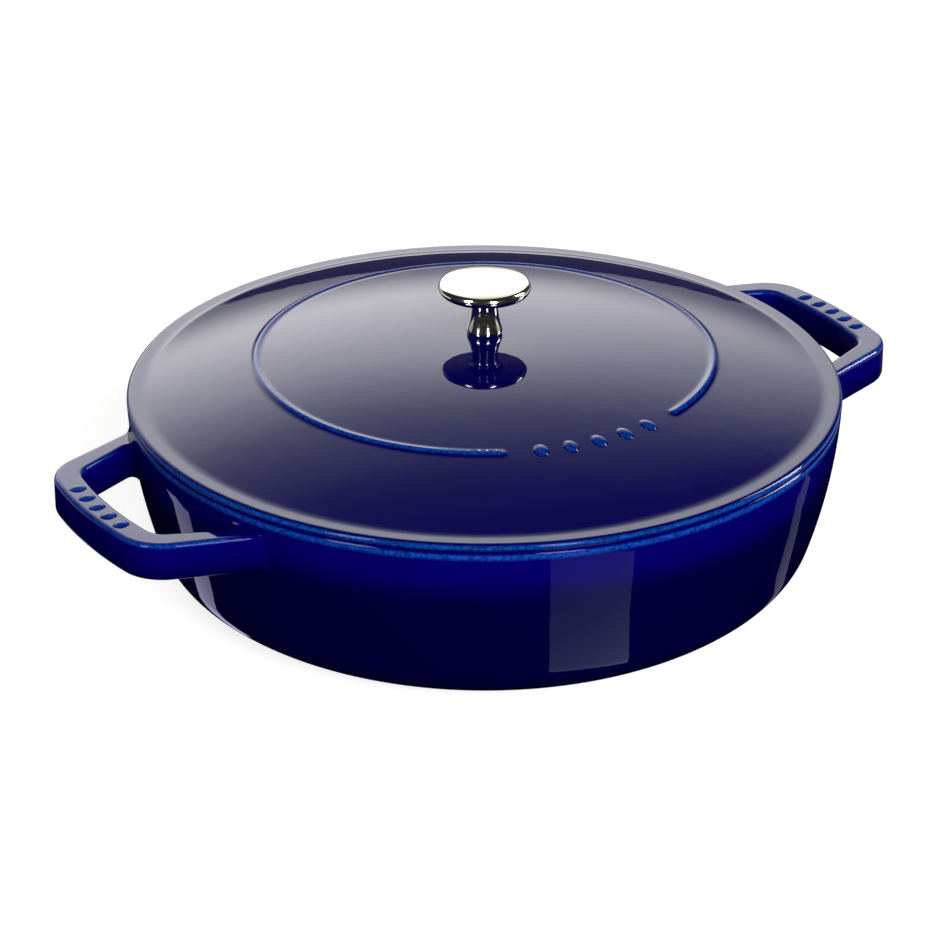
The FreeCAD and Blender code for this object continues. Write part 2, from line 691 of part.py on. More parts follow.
def screw_outline(body):
    """Half the screw's section: head, shank and bevelled tip."""
    shank = size("screw_radius")
    head = size("screw_head_radius")
    bevel = size("screw_tip_bevel")
    corners = [
        Vector(0, head_foot, 0),
        Vector(head, head_foot, 0),
        Vector(head, head_face, 0),
        Vector(shank, head_face, 0),
        Vector(shank, screw_tip - bevel, 0),
        Vector(shank - bevel, screw_tip, 0),
        Vector(0, screw_tip, 0),
    ]
    outline = Outline(body, "screw_section", "XZ_Plane")
    pieces = [outline.line(a, b) for a, b in zip(corners, corners[1:] + corners[:1])]
    foot, side, under, shank_side, tip_bevel, tip_face, axis = pieces
    outline.join(pieces)
    for piece in (foot, under, tip_face):
        outline.fix("Horizontal", piece)
    for piece in (side, shank_side, axis):
        outline.fix("Vertical", piece)
    outline.on_upright_axis(outline.start(foot))
    outline.up(outline.start(foot), head_foot, f"{HEAD_FACE} - screw_head_height")
    outline.across(outline.end(foot), head, "screw_head_radius")
    outline.up(outline.end(side), head_face, HEAD_FACE)
    outline.across(outline.end(under), shank, "screw_radius")
    outline.up(outline.end(shank_side), screw_tip - bevel, f"{SCREW_TIP} - screw_tip_bevel")
    outline.across(outline.end(tip_bevel), shank - bevel, "screw_radius - screw_tip_bevel")
    outline.up(outline.end(tip_bevel), screw_tip, SCREW_TIP)
    return outline


def slot_outline(body):
    """The screwdriver slot seen from below, right across the head."""
    half_length = size("screw_head_radius")
    half_width = size("slot_width") / 2
    corners = [
        Vector(-half_length, -half_width, 0),
        Vector(half_length, -half_width, 0),
        Vector(half_length, half_width, 0),
        Vector(-half_length, half_width, 0),
    ]
    outline = Outline(body, "slot_shape", "XY_Plane", f"{HEAD_FACE} - screw_head_height")
    pieces = [outline.line(a, b) for a, b in zip(corners, corners[1:] + corners[:1])]
    outline.join(pieces)
    for piece in pieces[0::2]:
        outline.fix("Horizontal", piece)
    for piece in pieces[1::2]:
        outline.fix("Vertical", piece)
    outline.fix("Symmetric", *outline.start(pieces[0]), *outline.start(pieces[2]), *outline.origin())
    outline.measure("DistanceX", (pieces[0], 1, pieces[0], 2), 2 * half_length, "2 * screw_head_radius")
    outline.measure("DistanceY", (pieces[1], 1, pieces[1], 2), 2 * half_width, "slot_width")
    return outline


screw = new_body("knob_screw")
blank = turned(screw, screw_outline(screw), "blank")
head_edge = rim_circle(head_foot, size("screw_head_radius"))
rounded(screw, blank, "head_round", head_edge, "screw_head_round")
slot = screw.newObject("PartDesign::Pocket", "slot")
slot.Profile = slot_outline(screw).sketch
slot.Reversed = True
slot.setExpression("Length", bound("slot_depth"))
doc.recompute()


# Washers between the screw's head and the lid

def washer_outline(body, name, outer, outer_expression, low, low_expression, thickness, thickness_expression):
    """The square section of a washer, beside the upright axis."""
    inner = size("screw_radius") + size("washer_clearance")
    corners = [
        Vector(inner, low, 0),
        Vector(outer, low, 0),
        Vector(outer, low + thickness, 0),
        Vector(inner, low + thickness, 0),
    ]
    outline = Outline(body, name, "YZ_Plane")
    pieces = [outline.line(a, b) for a, b in zip(corners, corners[1:] + corners[:1])]
    outline.join(pieces)
    for piece in pieces[0::2]:
        outline.fix("Horizontal", piece)
    for piece in pieces[1::2]:
        outline.fix("Vertical", piece)
    outline.across(outline.start(pieces[0]), inner, "screw_radius + washer_clearance")
    outline.up(outline.start(pieces[0]), low, low_expression)
    outline.across(outline.end(pieces[0]), outer, outer_expression)
    outline.measure("DistanceY", (pieces[1], 1, pieces[1], 2), thickness, thickness_expression)
    return outline


flat_washer = new_body("flat_washer")
flat_section = washer_outline(
    flat_washer, "flat_washer_section", size("flat_washer_radius"), "flat_washer_radius",
    spring_top, f"{PAD_FACE} - flat_washer_thickness", size("flat_washer_thickness"), "flat_washer_thickness",
)
turned(flat_washer, flat_section, "plain_ring")

spring_washer = new_body("spring_washer")
spring_section = washer_outline(
    spring_washer, "spring_washer_section", size("spring_washer_radius"), "spring_washer_radius",
    head_face, HEAD_FACE, size("spring_washer_thickness"), "spring_washer_thickness",
)
turned(spring_washer, spring_section, "split_ring", "360 - spring_washer_split_angle")


# Every piece is checked before any file is written

doc.recompute()
for item in doc.Objects:
    if "Invalid" in item.State or "Error" in item.State:
        raise RuntimeError(f"{item.Label} failed: {item.State}")
pieces = [pan, lid, knob, screw, flat_washer, spring_washer]
for piece in pieces:
    if piece.Shape.isNull() or not piece.Shape.isValid() or len(piece.Shape.Solids) != 1:
        raise RuntimeError(f"{piece.Label} is not one sound solid")
os.makedirs("parts", exist_ok=True)
for piece in pieces:
    piece.Shape.exportStep(f"parts/{piece.Label}.step")
    print(piece.Label, round(piece.Shape.Volume), "mm3")
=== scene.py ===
"""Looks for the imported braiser: blue glass enamel outside, matt black enamel inside and a polished knob."""

import math

import bmesh
import bpy
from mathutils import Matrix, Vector


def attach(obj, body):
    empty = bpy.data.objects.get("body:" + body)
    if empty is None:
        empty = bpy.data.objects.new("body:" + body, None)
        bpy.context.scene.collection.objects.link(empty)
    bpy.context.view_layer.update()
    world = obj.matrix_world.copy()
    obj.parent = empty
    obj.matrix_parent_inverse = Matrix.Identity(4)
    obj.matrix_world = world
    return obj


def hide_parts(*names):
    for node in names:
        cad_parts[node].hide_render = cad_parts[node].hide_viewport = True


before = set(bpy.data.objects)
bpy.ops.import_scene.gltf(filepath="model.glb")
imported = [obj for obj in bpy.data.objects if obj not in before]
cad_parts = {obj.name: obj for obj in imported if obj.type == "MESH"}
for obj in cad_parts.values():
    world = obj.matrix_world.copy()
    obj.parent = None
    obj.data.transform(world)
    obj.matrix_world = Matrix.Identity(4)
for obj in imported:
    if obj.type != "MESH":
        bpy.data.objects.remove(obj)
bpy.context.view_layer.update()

# Sizes in millimetres and degrees, as in the part's source, with a hair taken off its outermost edges
MM = 0.001
RIM_RADIUS = 143.9
RIM_HEIGHT = 78.0
PAN_WALL = 4.5
BASE_INSET = 46.9
HEEL_RADIUS = 45.0
HEEL_ANGLE = 42.0
CORNER_RADIUS = 24.0
BULGE_RADIUS = 218.0
RIM_OUTER_ROUND = 1.8
RIM_INNER_ROUND = 1.0
RIM_GLAZE = (3.4, 0.7)  # the thin glaze round the rim, from and to these depths below it
PAINTED_SHADE_HEIGHTS = (53.0, 70.0)  # painted shade: the wall's blue lightens out of it between these heights

HANDLE_PROJECTION = 37.05
HANDLE_DROP = 6.4
HANDLE_THICKNESS = 16.0
ROOT_HALF = 56.0
END_HALF = 39.5
ROOT_DEPTH = 4.3
BOW_RADIUS = 185.0
BAR_WIDTH = 11.6
ARM_WIDTH = 8.2
OUTER_CORNER = 20.0
INNER_CORNER = 9.0
HANDLE_TOP_ROUND = 2.0
HANDLE_BOTTOM_ROUND = 3.3
HANDLE_INNER_GLAZE = 0.4  # how thin the glaze is on the upper edges, from 0 to 1
HANDLE_OUTER_GLAZE = 0.85
ROOT_ROUND = 4.0

LID_RADIUS = 143.95
LID_RISE = 25.0
LID_WALL = 4.5
BRIM_WIDTH = 7.5
BRIM_THICKNESS = 3.3
BRIM_BLEND = 12.0
BRIM_TOP_ROUND = 2.0
BRIM_BOTTOM_ROUND = 1.0
LIP_CLEARANCE = 0.8
LIP_WIDTH = 4.0
LIP_DEPTH = 5.0
LIP_ROUND = 1.5
PAD_RADIUS = 11.0
PAD_DROP = 1.5
SEAT_RADIUS = 7.7
LID_BORE = 3.3

RING_RADIUS = 92.0
RING_HEIGHT = 1.0
RING_HALF_WIDTH = 1.45
RING_GAP = 49.6
RING_GLAZE = 0.8
BRIM_GLAZE = (0.5, 0.2)  # the thin glaze round the brim, in from its foot and its top
LID_TURN = 3.8

STUD_COUNT = 5
STUD_HALF_WIDTH = 2.4
STUD_HEIGHT = 1.2
STUD_FLARE = 0.7
STUD_SINK = 0.05
STUD_GLAZE = 0.7
LID_STUD_HALF_LENGTH = 4.2
HANDLE_STUD_HALF_LENGTH = 3.6
LID_STUD_PITCH = 12.0
HANDLE_STUD_PITCH = 9.0

KNOB_HEIGHT = 24.39
KNOB_CAP_RADIUS = 18.5
KNOB_CROWN_DROP = 4.4
KNOB_EDGE_ROUND = 2.3
KNOB_FLARE = 4.0
KNOB_NECK_RADIUS = 5.3
KNOB_NECK_HEIGHT = 13.5
KNOB_FOOT_RADIUS = 7.2
KNOB_FOOT_BULGE = 2.5
KNOB_FOOT_HEIGHT = 1.6
KNOB_BORE = 3.1
KNOB_BORE_TOP = 13.0

BUMP_RINGS = 7
BUMP_RING_PITCH = 18.0
BUMP_RADIUS = 4.0
BUMP_HEIGHT = 2.6

# Facets round each turned piece, each stud and each bump
BOWL_SEGMENTS = 288
LID_SEGMENTS = 640
KNOB_SEGMENTS = 128
STUD_SEGMENTS = 28
BUMP_SEGMENTS = 12

# Camera of the photograph, turned round the part's upright axis
CAMERA_AZIMUTH = -32.1
CAMERA_ELEVATION = 26.15
CAMERA_DISTANCE = 1537.0
CAMERA_TARGET = (-4.94, 3.1, 41.7)
CAMERA_LENS = 144.3

# Lengths worked out from those
HANDLE_TOP = RIM_HEIGHT - HANDLE_DROP
LID_TOP = RIM_HEIGHT + LID_RISE
BRIM_TOP = RIM_HEIGHT + BRIM_THICKNESS
DOME_RUN = LID_RADIUS - BRIM_WIDTH - SEAT_RADIUS
DOME_DROP = LID_RISE - BRIM_THICKNESS
DOME_RADIUS = (DOME_RUN ** 2 + DOME_DROP ** 2) / (2 * DOME_DROP)
DOME_CENTRE = Vector((SEAT_RADIUS, LID_TOP - DOME_RADIUS))
BOW_CENTRE = RIM_RADIUS + HANDLE_PROJECTION - BOW_RADIUS
SUPPORT = 0.35  # from a round to the points that hold the flats beside it


# Outlines in one plane

def polar(centre, radius, degrees):
    """The point on a circle at an angle."""
    turn = math.radians(degrees)
    return centre + Vector((math.cos(turn), math.sin(turn))) * radius


def heading(centre, point):
    """The angle from one point to another, in degrees."""
    across = point - centre
    return math.degrees(math.atan2(across.y, across.x))


def arc(centre, radius, start, end, step=2.5):
    """Points along a circle from one angle to another."""
    count = max(2, math.ceil(abs(end - start) / step))
    return [polar(centre, radius, start + (end - start) * k / count) for k in range(count + 1)]


def fillet(before, corner, after, radius, step=9.0):
    """A round in place of a corner, with a point on each straight side to hold the flats flat."""
    side_a = (before - corner).normalized()
    side_b = (after - corner).normalized()
    half = side_a.angle(side_b) / 2
    reach = radius / math.tan(half)
    centre = corner + (side_a + side_b).normalized() * (radius / math.sin(half))
    start = heading(centre, corner + side_a * reach)
    sweep = (heading(centre, corner + side_b * reach) - start + 180) % 360 - 180
    points = arc(centre, radius, start, start + sweep, step)
    return [corner + side_a * (reach + SUPPORT), *points, corner + side_b * (reach + SUPPORT)]


def circles_meet(centre_a, radius_a, centre_b, radius_b):
    """The two points where two circles cross."""
    across = centre_b - centre_a
    along = (across.length_squared + radius_a ** 2 - radius_b ** 2) / (2 * across.length)
    aside = math.sqrt(radius_a ** 2 - along ** 2)
    unit = across.normalized()
    foot = centre_a + unit * along
    normal = Vector((-unit.y, unit.x))
    return foot + normal * aside, foot - normal * aside


# Meshes

def mesh_object(name, points, faces, materials):
    """A smooth mesh from points in millimetres, with every face pointing outwards."""
    mesh = bpy.data.meshes.new(name)
    mesh.from_pydata([Vector(point) * MM for point in points], [], faces)
    shape = bmesh.new()
    shape.from_mesh(mesh)
    bmesh.ops.recalc_face_normals(shape, faces=shape.faces)
    shape.to_mesh(mesh)
    shape.free()
    mesh.shade_smooth()
    for material in materials:
        mesh.materials.append(material)
    piece = bpy.data.objects.new(name, mesh)
    bpy.context.scene.collection.objects.link(piece)
    return piece


def lathe(outline, segments, closed=False, lift=None):
    """Points and faces of an outline turned round the upright axis, and each face's place on the outline.

    An outline of (radius, height) ends at the axis or is closed. A lift raises points by radius and turn.
    """
    points = []
    rings = []
    for at in outline:
        if at.x < 1e-6:
            rings.append([len(points)] * segments)
            points.append((0.0, 0.0, at.y))
            continue
        rings.append(list(range(len(points), len(points) + segments)))
        for number in range(segments):
            turn = 2 * math.pi * number / segments
            rise = lift(at, turn) if lift else 0.0
            points.append((at.x * math.cos(turn), at.x * math.sin(turn), at.y + rise))
    pairs = list(zip(rings, rings[1:]))
    if closed:
        pairs.append((rings[-1], rings[0]))
    faces = []
    places = []
    for place, (lower, upper) in enumerate(pairs):
        for number in range(segments):
            after = (number + 1) % segments
            corners = [lower[number], lower[after], upper[after], upper[number]]
            faces.append(list(dict.fromkeys(corners)))
            places.append(place)
    return points, faces, places


def bands(rings, around):
    """Four-cornered faces between rings of points that follow each other in a list."""
    faces = []
    for first in range(0, (rings - 1) * around, around):
        for number in range(around):
            after = (number + 1) % around
            faces.append([first + number, first + after, first + around + after, first + around + number])
    return faces


def paint(piece, value):
    """Keeps on each point how thin the glaze is there, from 0 to 1."""
    layer = piece.data.attributes.new("thin_glaze", "FLOAT", "POINT")
    layer.data.foreach_set("value", [value(vertex.co / MM) for vertex in piece.data.vertices])


def dress(piece, body, slot, *nodes):
    """Sets a finished piece on its body and hides the solids that it stands for; its slot is not used."""
    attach(piece, body)
    if nodes:
        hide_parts(*nodes)


# Node trees

def plug(tree, node, inputs):
    """Puts values or links on a node's inputs."""
    for name, value in inputs.items():
        if isinstance(value, bpy.types.NodeSocket):
            tree.links.new(value, node.inputs[name])
        else:
            node.inputs[name].default_value = value


def add(tree, kind, inputs=None, **settings):
    """A node with its settings, and with values or links on its inputs."""
    node = tree.nodes.new(kind)
    for name, value in settings.items():
        setattr(node, name, value)
    plug(tree, node, inputs or {})
    return node


def reckon(tree, operation, *values):
    """The result of one sum on values or links."""
    return add(tree, "ShaderNodeMath", dict(enumerate(values)), operation=operation).outputs[0]


def mix(tree, share, first, second):
    """A colour between two others."""
    inputs = {"Factor": share, "A": first, "B": second}
    return add(tree, "ShaderNodeMix", inputs, data_type="RGBA").outputs["Result"]


def colour(hexes):
    """A linear colour from an sRGB hex value."""
    channels = [int(hexes[k:k + 2], 16) / 255 for k in (1, 3, 5)]
    linear = [c / 12.92 if c <= 0.04045 else ((c + 0.055) / 1.055) ** 2.4 for c in channels]
    return (*linear, 1.0)


def new_material(name):
    """An empty material, with its tree, its shader and its Object coordinates."""
    material = bpy.data.materials.new(name)
    material.use_nodes = True
    tree = material.node_tree
    tree.nodes.clear()
    shader = add(tree, "ShaderNodeBsdfPrincipled")
    add(tree, "ShaderNodeOutputMaterial", {"Surface": shader.outputs["BSDF"]})
    place = add(tree, "ShaderNodeTexCoord").outputs["Object"]
    return material, tree, shader, place


def per_millimetre(size):
    """A texture's scale, in waves per metre, from the size of one wave in millimetres."""
    return 1 / (size * MM)


def noise(tree, place, size, detail):
    """Noise with waves of a size in millimetres."""
    scale = per_millimetre(size)
    return add(tree, "ShaderNodeTexNoise", {"Vector": place, "Scale": scale, "Detail": detail})


WAVE_UNIT = 2 * math.pi / 20  # the length of one wave of a wave texture at scale 1


def blue_glass_enamel(name, blues, run=None):
    """Cobalt glass fired on cast iron: deep, glossy and nearly even, lighter where the glaze drew off edges.

    With two heights in millimetres, it darkens to nearly black below them, a painted shade low on the wall.
    The speckle of the thin edges is about 0.3 mm across on the real glaze, drawn coarser so that it shows.
    """
    cloud_size, speckle_size, ripple_size = 38, 1.3, 7
    material, tree, shader, place = new_material(name)
    cloud = noise(tree, place, cloud_size, 2.0)
    grain = noise(tree, place, speckle_size, 2.0)
    deep = mix(tree, cloud.outputs["Fac"], colour(blues[0]), colour(blues[1]))
    # painted shade: below the given heights the blue eases to nearly black
    if run:
        height = add(tree, "ShaderNodeSeparateXYZ", {0: place}).outputs["Z"]
        upper = add(
            tree, "ShaderNodeMapRange",
            {"Value": height, "From Min": run[0] * MM, "From Max": run[1] * MM},
            interpolation_type="SMOOTHSTEP",
        )
        deep = mix(tree, upper.outputs["Result"], colour("#020033"), deep)
    thin = add(tree, "ShaderNodeAttribute", attribute_name="thin_glaze")
    speckle = add(
        tree, "ShaderNodeMapRange",
        {"Value": grain.outputs["Fac"], "From Min": 0.38, "From Max": 0.62, "To Min": 0.3, "To Max": 1.0},
    )
    share = reckon(tree, "MULTIPLY", thin.outputs["Fac"], speckle.outputs["Result"])
    gloss = add(
        tree, "ShaderNodeMapRange",
        {"Value": cloud.outputs["Fac"], "From Min": 0.3, "From Max": 0.7, "To Min": 0.02, "To Max": 0.045},
    )
    peel = noise(tree, place, ripple_size, 1.0)
    skin = add(
        tree, "ShaderNodeBump",
        {"Height": peel.outputs["Fac"], "Strength": 0.06, "Distance": 0.5 * MM},
    )
    plug(tree, shader, {
        "Base Color": mix(tree, share, deep, colour("#0d48a5")),
        "Roughness": gloss.outputs["Result"],
        "Normal": skin.outputs["Normal"],
        "IOR": 1.25,
        "Specular Tint": colour("#8080a4"),
    })
    return material


def matt_black_enamel(name):
    """Black enamel fired matt on cast iron: dark grey, with a fine sandy tooth that holds oil.

    The tooth is about 0.2 mm across on the real enamel, drawn coarser so that it shows.
    """
    tooth_size, cloud_size = 0.8, 24
    material, tree, shader, place = new_material(name)
    tooth = noise(tree, place, tooth_size, 3.0)
    cloud = noise(tree, place, cloud_size, 3.0)
    dullness = add(
        tree, "ShaderNodeMapRange",
        {"Value": tooth.outputs["Fac"], "From Min": 0.3, "From Max": 0.7, "To Min": 0.42, "To Max": 0.6},
    )
    skin = add(
        tree, "ShaderNodeBump",
        {"Height": tooth.outputs["Fac"], "Strength": 0.35, "Distance": 0.2 * MM},
    )
    plug(tree, shader, {
        "Base Color": mix(tree, cloud.outputs["Fac"], colour("#161617"), colour("#242426")),
        "Roughness": dullness.outputs["Result"],
        "Normal": skin.outputs["Normal"],
    })
    return material


def polished_nickel(name):
    """Nickel plate buffed to a mirror: a warm white metal, with faint rings left by the wheel.

    The rings are hair-fine on the real knob, drawn coarser so that they show.
    """
    cloud_size, ring_size = 7, 1.9
    material, tree, shader, place = new_material(name)
    cloud = noise(tree, place, cloud_size, 2.0)
    buffing = add(
        tree, "ShaderNodeTexWave",
        {"Vector": place, "Scale": WAVE_UNIT * per_millimetre(ring_size), "Distortion": 0.6},
        wave_type="RINGS",
        rings_direction="Z",
    )
    gloss = add(
        tree, "ShaderNodeMapRange",
        {"Value": buffing.outputs["Fac"], "To Min": 0.07, "To Max": 0.1},
    )
    plug(tree, shader, {
        "Base Color": mix(tree, cloud.outputs["Fac"], colour("#d3cdbf"), colour("#ddd7ca")),
        "Roughness": gloss.outputs["Result"],
        "Metallic": 1.0,
    })
    return material


def plain_stainless(name):
    """Turned stainless steel, left plain: grey metal with fine turning marks round the axis.

    The marks are about 0.1 mm apart on a real screw, drawn coarser so that they show.
    """
    mark_size = 0.94
    material, tree, shader, place = new_material(name)
    marks = add(
        tree, "ShaderNodeTexWave",
        {
            "Vector": place, "Scale": WAVE_UNIT * per_millimetre(mark_size),
            "Distortion": 1.5, "Detail": 2.0,
        },
        wave_type="RINGS",
        rings_direction="Z",
    )
    gloss = add(
        tree, "ShaderNodeMapRange",
        {"Value": marks.outputs["Fac"], "To Min": 0.22, "To Max": 0.36},
    )
    plug(tree, shader, {
        "Base Color": mix(tree, marks.outputs["Fac"], colour("#b4b2ad"), colour("#c8c6c1")),
        "Roughness": gloss.outputs["Result"],
        "Metallic": 1.0,
    })
    return material


pan_enamel = blue_glass_enamel("blue_glass_enamel_pan", ("#040057", "#050062"), PAINTED_SHADE_HEIGHTS)
# painted shade: the lid's copy of the pan's glaze is given darker blues
lid_enamel = blue_glass_enamel("blue_glass_enamel_lid", ("#03004a", "#040052"))
black_enamel = matt_black_enamel("matt_black_enamel")
nickel = polished_nickel("polished_nickel")
stainless = plain_stainless("plain_stainless")


# Pan: bowl and two loop handles, cast in one

def bulge_centre(inset):
    """The centres of the bowl's heel, corner and bulging wall, set in from its outside."""
    heel = Vector((RIM_RADIUS - BASE_INSET, HEEL_RADIUS))
    corner = polar(heel, HEEL_RADIUS - CORNER_RADIUS, HEEL_ANGLE - 90)
    rim = Vector((RIM_RADIUS - inset, RIM_HEIGHT))
    meets = circles_meet(corner, BULGE_RADIUS - CORNER_RADIUS, rim, BULGE_RADIUS - inset)
    return heel, corner, min(meets, key=lambda point: point.x)


def bowl_section(inset):
    """The bowl's outline from the axis to the rim, set in from its outside."""
    heel, corner, bulge = bulge_centre(inset)
    rim = Vector((RIM_RADIUS - inset, RIM_HEIGHT))
    start = heading(bulge, corner)
    floor = [Vector((0, inset)), Vector((0.5 * heel.x, inset)), Vector((heel.x - SUPPORT, inset))]
    return [
        *floor,
        *arc(heel, HEEL_RADIUS - inset, -90, HEEL_ANGLE - 90),
        *arc(corner, CORNER_RADIUS - inset, HEEL_ANGLE - 90, start)[1:],
        *arc(bulge, BULGE_RADIUS - inset, start, heading(bulge, rim), 1.0)[1:],
    ]


def make_bowl():
    """The bowl, blue outside and over its rim and black inside."""
    outside = bowl_section(0)
    inside = bowl_section(PAN_WALL)
    rim_out, rim_in = outside.pop(), inside.pop()
    round_out = fillet(outside[-1], rim_out, rim_in, RIM_OUTER_ROUND)
    round_in = fillet(rim_out, rim_in, inside[-1], RIM_INNER_ROUND)
    outline = [*outside, *round_out, *round_in, *reversed(inside)]
    points, faces, places = lathe(outline, BOWL_SEGMENTS)
    piece = mesh_object("pan_bowl", points, faces, [pan_enamel, black_enamel])
    black_from = len(outside) + len(round_out) - 1
    for face, place in zip(piece.data.polygons, places):
        face.material_index = int(place >= black_from)
    low, high = (RIM_HEIGHT - depth for depth in RIM_GLAZE)
    paint(piece, lambda at: glaze_line(low, high, at.z))
    dress(piece, "pan", "blue_enamel_pan", "pan")


def smooth_step(low, high, value):
    """0 below one value and 1 above another, with an even ease between them."""
    share = min(1.0, max(0.0, (value - low) / (high - low)))
    return share * share * (3 - 2 * share)


def glaze_line(low, high, height):
    """1 in a narrow band of heights, easing to 0 at both its edges."""
    ease = 0.35 * (high - low)
    return smooth_step(low, low + ease, height) * (1 - smooth_step(high - ease, high, height))


def wall_radius(height):
    """The radius of the bowl's outside at a height on its bulging wall."""
    bulge = bulge_centre(0)[2]
    return bulge.x + math.sqrt(BULGE_RADIUS ** 2 - (height - bulge.y) ** 2)


def loop_edge(root_half, end_half, bow, corner_round, stations):
    """Half a handle's edge from above, from its root to the middle of its bar, as a function of stations.

    The arm is the straight stretch from station 0 to 1, and may be followed back into the bowl.
    """
    root = Vector((math.sqrt((RIM_RADIUS - ROOT_DEPTH) ** 2 - ROOT_HALF ** 2), -root_half))
    centre = Vector((BOW_CENTRE, 0))
    end = Vector((BOW_CENTRE + math.sqrt(bow ** 2 - end_half ** 2), -end_half))
    along = (end - root).normalized()
    inward = Vector((-along.y, along.x))
    start = root + inward * corner_round - centre
    reach = bow - corner_round
    middle = start.dot(along)
    run = -middle + math.sqrt(middle ** 2 - start.length_squared + reach ** 2)
    round_centre = root + inward * corner_round + along * run
    arm_end = round_centre - inward * corner_round
    from_angle = heading(round_centre, arm_end)
    to_angle = heading(centre, round_centre)
    corner = arc(round_centre, corner_round, from_angle, to_angle, abs(to_angle - from_angle) / stations)
    bar = arc(centre, bow, to_angle, 0, abs(to_angle) / stations)
    return root, arm_end, corner + bar[1:]


def handle_section(width):
    """Places and directions round a handle's section, from its inner top edge, and how thin the glaze is.

    A place and a direction are (across, up) pairs, and the glaze is thin on the crests of the upper corners.
    """
    facets = 7  # on each rounded corner
    corners = [
        (Vector((0, 0)), HANDLE_TOP_ROUND, HANDLE_INNER_GLAZE),
        (Vector((width, 0)), HANDLE_TOP_ROUND, HANDLE_OUTER_GLAZE),
        (Vector((width, -HANDLE_THICKNESS)), HANDLE_BOTTOM_ROUND, 0.0),
        (Vector((0, -HANDLE_THICKNESS)), HANDLE_BOTTOM_ROUND, 0.0),
    ]
    section = []
    for number, (corner, radius, bare) in enumerate(corners):
        before = corners[number - 1][0]
        after = corners[(number + 1) % 4][0]
        points = fillet(before, corner, after, radius, 90 / facets)
        out_a = (corner - after).normalized()
        out_b = (corner - before).normalized()
        last = len(points) - 1
        for k, point in enumerate(points):
            turn = math.pi / 2 * min(max((k - 1) / (last - 2), 0.0), 1.0)
            crest = bare * math.sin(2 * turn) ** 2
            section.append((point, out_a * math.sin(turn) + out_b * math.cos(turn), crest))
    return section


def make_handle(name, side):
    """One loop, swept from root to root, flaring into the bowl's wall at both."""
    stations = 14
    arm_steps = 12
    flare_steps = 8
    skirt_spread = 1.0
    skirt_gaps = (-1.5, -0.1)
    outer_root, outer_arm, outer_rest = loop_edge(ROOT_HALF, END_HALF, BOW_RADIUS, OUTER_CORNER, stations)
    inner_root, inner_arm, inner_rest = loop_edge(
        ROOT_HALF - ARM_WIDTH, END_HALF - ARM_WIDTH, BOW_RADIUS - BAR_WIDTH, INNER_CORNER, stations,
    )

    def place(inner, outer, number, spread=0.0):
        """A point of the section between two edges, moved out by a spread."""
        across = outer - inner
        at, out, _ = handle_section(across.length)[number]
        at = at + out * spread
        plan = inner + across.normalized() * at.x
        return Vector((plan.x, plan.y, HANDLE_TOP + at.y))

    def on_arm(number, share, spread=0.0):
        """A point of the section at a share of the arm's length."""
        return place(inner_root.lerp(inner_arm, share), outer_root.lerp(outer_arm, share), number, spread)

    def share_at(number, gap, spread):
        """How far along the arm a point of the section is at a gap from the bowl's wall, found by halving."""
        low, high = -0.6, 0.8  # inside the wall, and clear of it
        for _ in range(30):
            middle = (low + high) / 2
            at = on_arm(number, middle, spread)
            if math.hypot(at.x, at.y) - wall_radius(at.z) < gap:
                low = middle
            else:
                high = middle
        return middle

    section = handle_section(ARM_WIDTH)
    count = len(section)
    facing = (outer_root - inner_root).normalized().dot((outer_root + inner_root).normalized())
    rounds = [ROOT_ROUND * (1 - out.x * facing) for _, out, _ in section]

    def flare(turn):
        """A ring of the root's round, from 0 along the wall to a quarter turn along the arm."""
        ring = []
        for n, radius in enumerate(rounds):
            spread = radius * (1 - math.sin(turn))
            ring.append(on_arm(n, share_at(n, radius * (1 - math.cos(turn)), spread), spread))
        return ring

    def skirt(gap):
        """A ring that carries the root's round on below the wall's face."""
        spreads = [radius + skirt_spread for radius in rounds]
        return [on_arm(n, share_at(n, gap, spread), spread) for n, spread in enumerate(spreads)]

    half = [skirt(gap) for gap in skirt_gaps]
    half += [flare(math.pi / 2 * step / flare_steps) for step in range(flare_steps + 1)]
    plain_rings = len(half)
    starts = [share_at(n, radius, 0.0) for n, radius in enumerate(rounds)]
    for step in range(1, arm_steps):
        share = step / arm_steps
        half.append([on_arm(n, starts[n] + (1 - starts[n]) * share) for n in range(count)])
    for inner, outer in zip(inner_rest, outer_rest):
        half.append([place(inner, outer, n) for n in range(count)])
    mirrored = [[Vector((p.x, -p.y, p.z)) for p in ring] for ring in reversed(half[:-1])]
    rings = half + mirrored
    points = [Vector((side * p.x, side * p.y, p.z)) for ring in rings for p in ring]
    faces = bands(len(rings), count)
    faces.append(list(range(count)))
    faces.append(list(range(len(points) - count, len(points))))
    piece = mesh_object(name, points, faces, [pan_enamel])
    thin_edges(piece, [crest for _, _, crest in section], plain_rings)
    dress(piece, "pan", "blue_enamel_pan", "pan")


def thin_edges(piece, crests, plain_rings):
    """Marks the glaze as thin on the upper edges of a handle, easing to nothing at its roots."""
    fade_rings = 4
    layer = piece.data.attributes.new("thin_glaze", "FLOAT", "POINT")
    last_ring = len(layer.data) // len(crests) - 1
    for number, point in enumerate(layer.data):
        ring, around = divmod(number, len(crests))
        from_root = min(ring, last_ring - ring) - plain_rings
        point.value = crests[around] * smooth_step(0, fade_rings, from_root)


make_bowl()
make_handle("pan_right_handle", 1)
make_handle("pan_left_handle", -1)


# Lid: dome, brim and lip with a raised ring

def dome_height(radius, inset=0.0):
    """The height of the dome's top face, or of a face set in below it, at a radius."""
    return DOME_CENTRE.y + math.sqrt((DOME_RADIUS - inset) ** 2 - (radius - DOME_CENTRE.x) ** 2)


